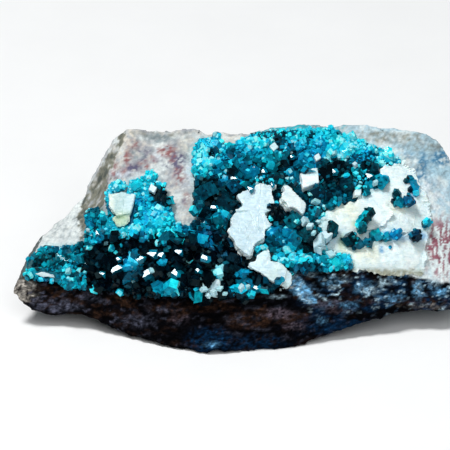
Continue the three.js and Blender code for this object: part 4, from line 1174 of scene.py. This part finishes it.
def dioptase_material():
    """Glassy blue-green: dark or pale by each facet's tone, and glossy by each crystal's gloss."""
    shader = Shader("dioptase")
    tone = shader.attribute("tone")
    hue = shader.attribute("hue")
    gloss = shader.attribute("gloss")
    cloud = shader.noise(0.9 * MM, 4, 0.6)
    cloudy = shader.math("ADD", tone, shader.fit(cloud, 0.3, 0.7, -0.1, 0.1))
    # The palest stops, from 0.93 on, are partly painted highlights.
    teal = shader.ramp(cloudy, [
        (0, (0.0002, 0.0015, 0.004)), (0.2, (0.001, 0.02, 0.036)), (0.4, (0.002, 0.12, 0.185)),
        (0.6, (0.003, 0.4, 0.57)), (0.8, (0.01, 0.78, 0.96)), (0.93, (0.08, 0.94, 1)),
        (1, (0.38, 0.97, 1)),
    ])
    turned = shader.node("ShaderNodeHueSaturation", {
        "Hue": shader.fit(hue, -1, 1, 0.464, 0.54), "Saturation": 1, "Value": 1, "Color": teal,
    }).outputs["Color"]
    roughness = shader.fit(shader.noise(0.6 * MM, 3), 0.3, 0.7, 0.2, 0.4)
    growth = shader.noise(0.35 * MM, 3, 0.5, (1, 1, 0.3))
    normal = shader.bump(growth, 0.03 * MM, 0.5)
    absorption = shader.node("ShaderNodeVolumeAbsorption", {
        "Color": (0.02, 0.6, 0.68, 1), "Density": 1400,
    }).outputs["Volume"]
    return shader.surface(
        volume=absorption, Base_Color=turned, Roughness=roughness, Normal=normal, IOR=1.66,
        Specular_IOR_Level=0.03, Specular_Tint=(0.3, 0.8, 0.9, 1), Transmission_Weight=0.15,
        Coat_Weight=gloss, Coat_Roughness=0.05, Coat_IOR=1.66,
    )


CALCITE_MATERIAL = calcite_material()
DIOPTASE_MATERIAL = dioptase_material()


def dioptase():
    random_ = random.Random(DRUSE_SEED)
    stone = tree_of(["matrix"])
    ground = tree_of([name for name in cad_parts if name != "matrix"])
    spar = tree_of(CALCITES)
    large = Druse()
    large.add_copy(CRUST, stone, random_)
    glints(large, ground, random_)
    large.piece("dioptase_large", CRUST)
    fine = Druse()
    places = clear_of_glints(skin_points(stone, spar, random_))
    grow(fine, places[:FULL_SIZED], *FULL, random_)
    grow(fine, places[FULL_SIZED:], *FILLING, random_)
    young = clear_of_glints(facet_points(CRUST, stone, FACET_TRIES, random_))
    grow(fine, young, *ON_CRUST, random_)
    lone_crystals(fine, spar, random_)
    fine.piece("dioptase_small", CRUST)
    for node in sorted(CRYSTAL_NODES):
        if node != CRUST:
            group = Druse()
            group.add_copy(node, stone, random_)
            grow(group, facet_points(node, stone, GROUP_TRIES, random_), *ON_GROUP, random_)
            group.piece(node + "_facets", node)


# -------- floor, light and camera

def floor():
    bpy.ops.mesh.primitive_plane_add(size=FLOOR_WIDTH)
    plane = bpy.context.object
    plane.name = "floor"
    shader = Shader("floor")
    cloud = shader.noise(20 * MM, 3)
    tone = shader.ramp(cloud, [(0.3, (0.86, 0.86, 0.86)), (0.7, (0.88, 0.88, 0.88))])
    material = shader.surface(Base_Color=tone, Roughness=0.9, Specular_IOR_Level=0.1)
    plane.data.materials.append(material)


def studio():
    for name, (place, size, radiance) in LIGHTS.items():
        data = bpy.data.lights.new(name, "AREA")
        data.shape = "SQUARE"
        data.size = size
        data.energy = radiance * math.pi * size ** 2
        lamp = linked(name, data)
        lamp.location = place
        lamp.rotation_euler = (TARGET - place).to_track_quat("-Z", "Y").to_euler()
    world = bpy.data.worlds.new("studio")
    world.use_nodes = True
    background = world.node_tree.nodes["Background"]
    background.inputs["Color"].default_value = SKY_COLOUR
    background.inputs["Strength"].default_value = SKY_STRENGTH
    bpy.context.scene.world = world
    bpy.context.scene.view_settings.view_transform = "Standard"


def camera():
    data = bpy.data.cameras.new("camera")
    data.lens = CAMERA_LENS
    data.sensor_width = SENSOR
    data.clip_end = CAMERA_REACH
    eye = linked("camera", data)
    eye.location = TARGET - AWAY * CAMERA_DISTANCE
    eye.rotation_euler = AWAY.to_track_quat("-Z", "Y").to_euler()
    bpy.context.scene.camera = eye


noise.seed_set(WOBBLE_SEED)
limestone()
for node, kind in CALCITES.items():
    calcite(node, *kind)
specks()
dioptase()
floor()
studio()
camera()
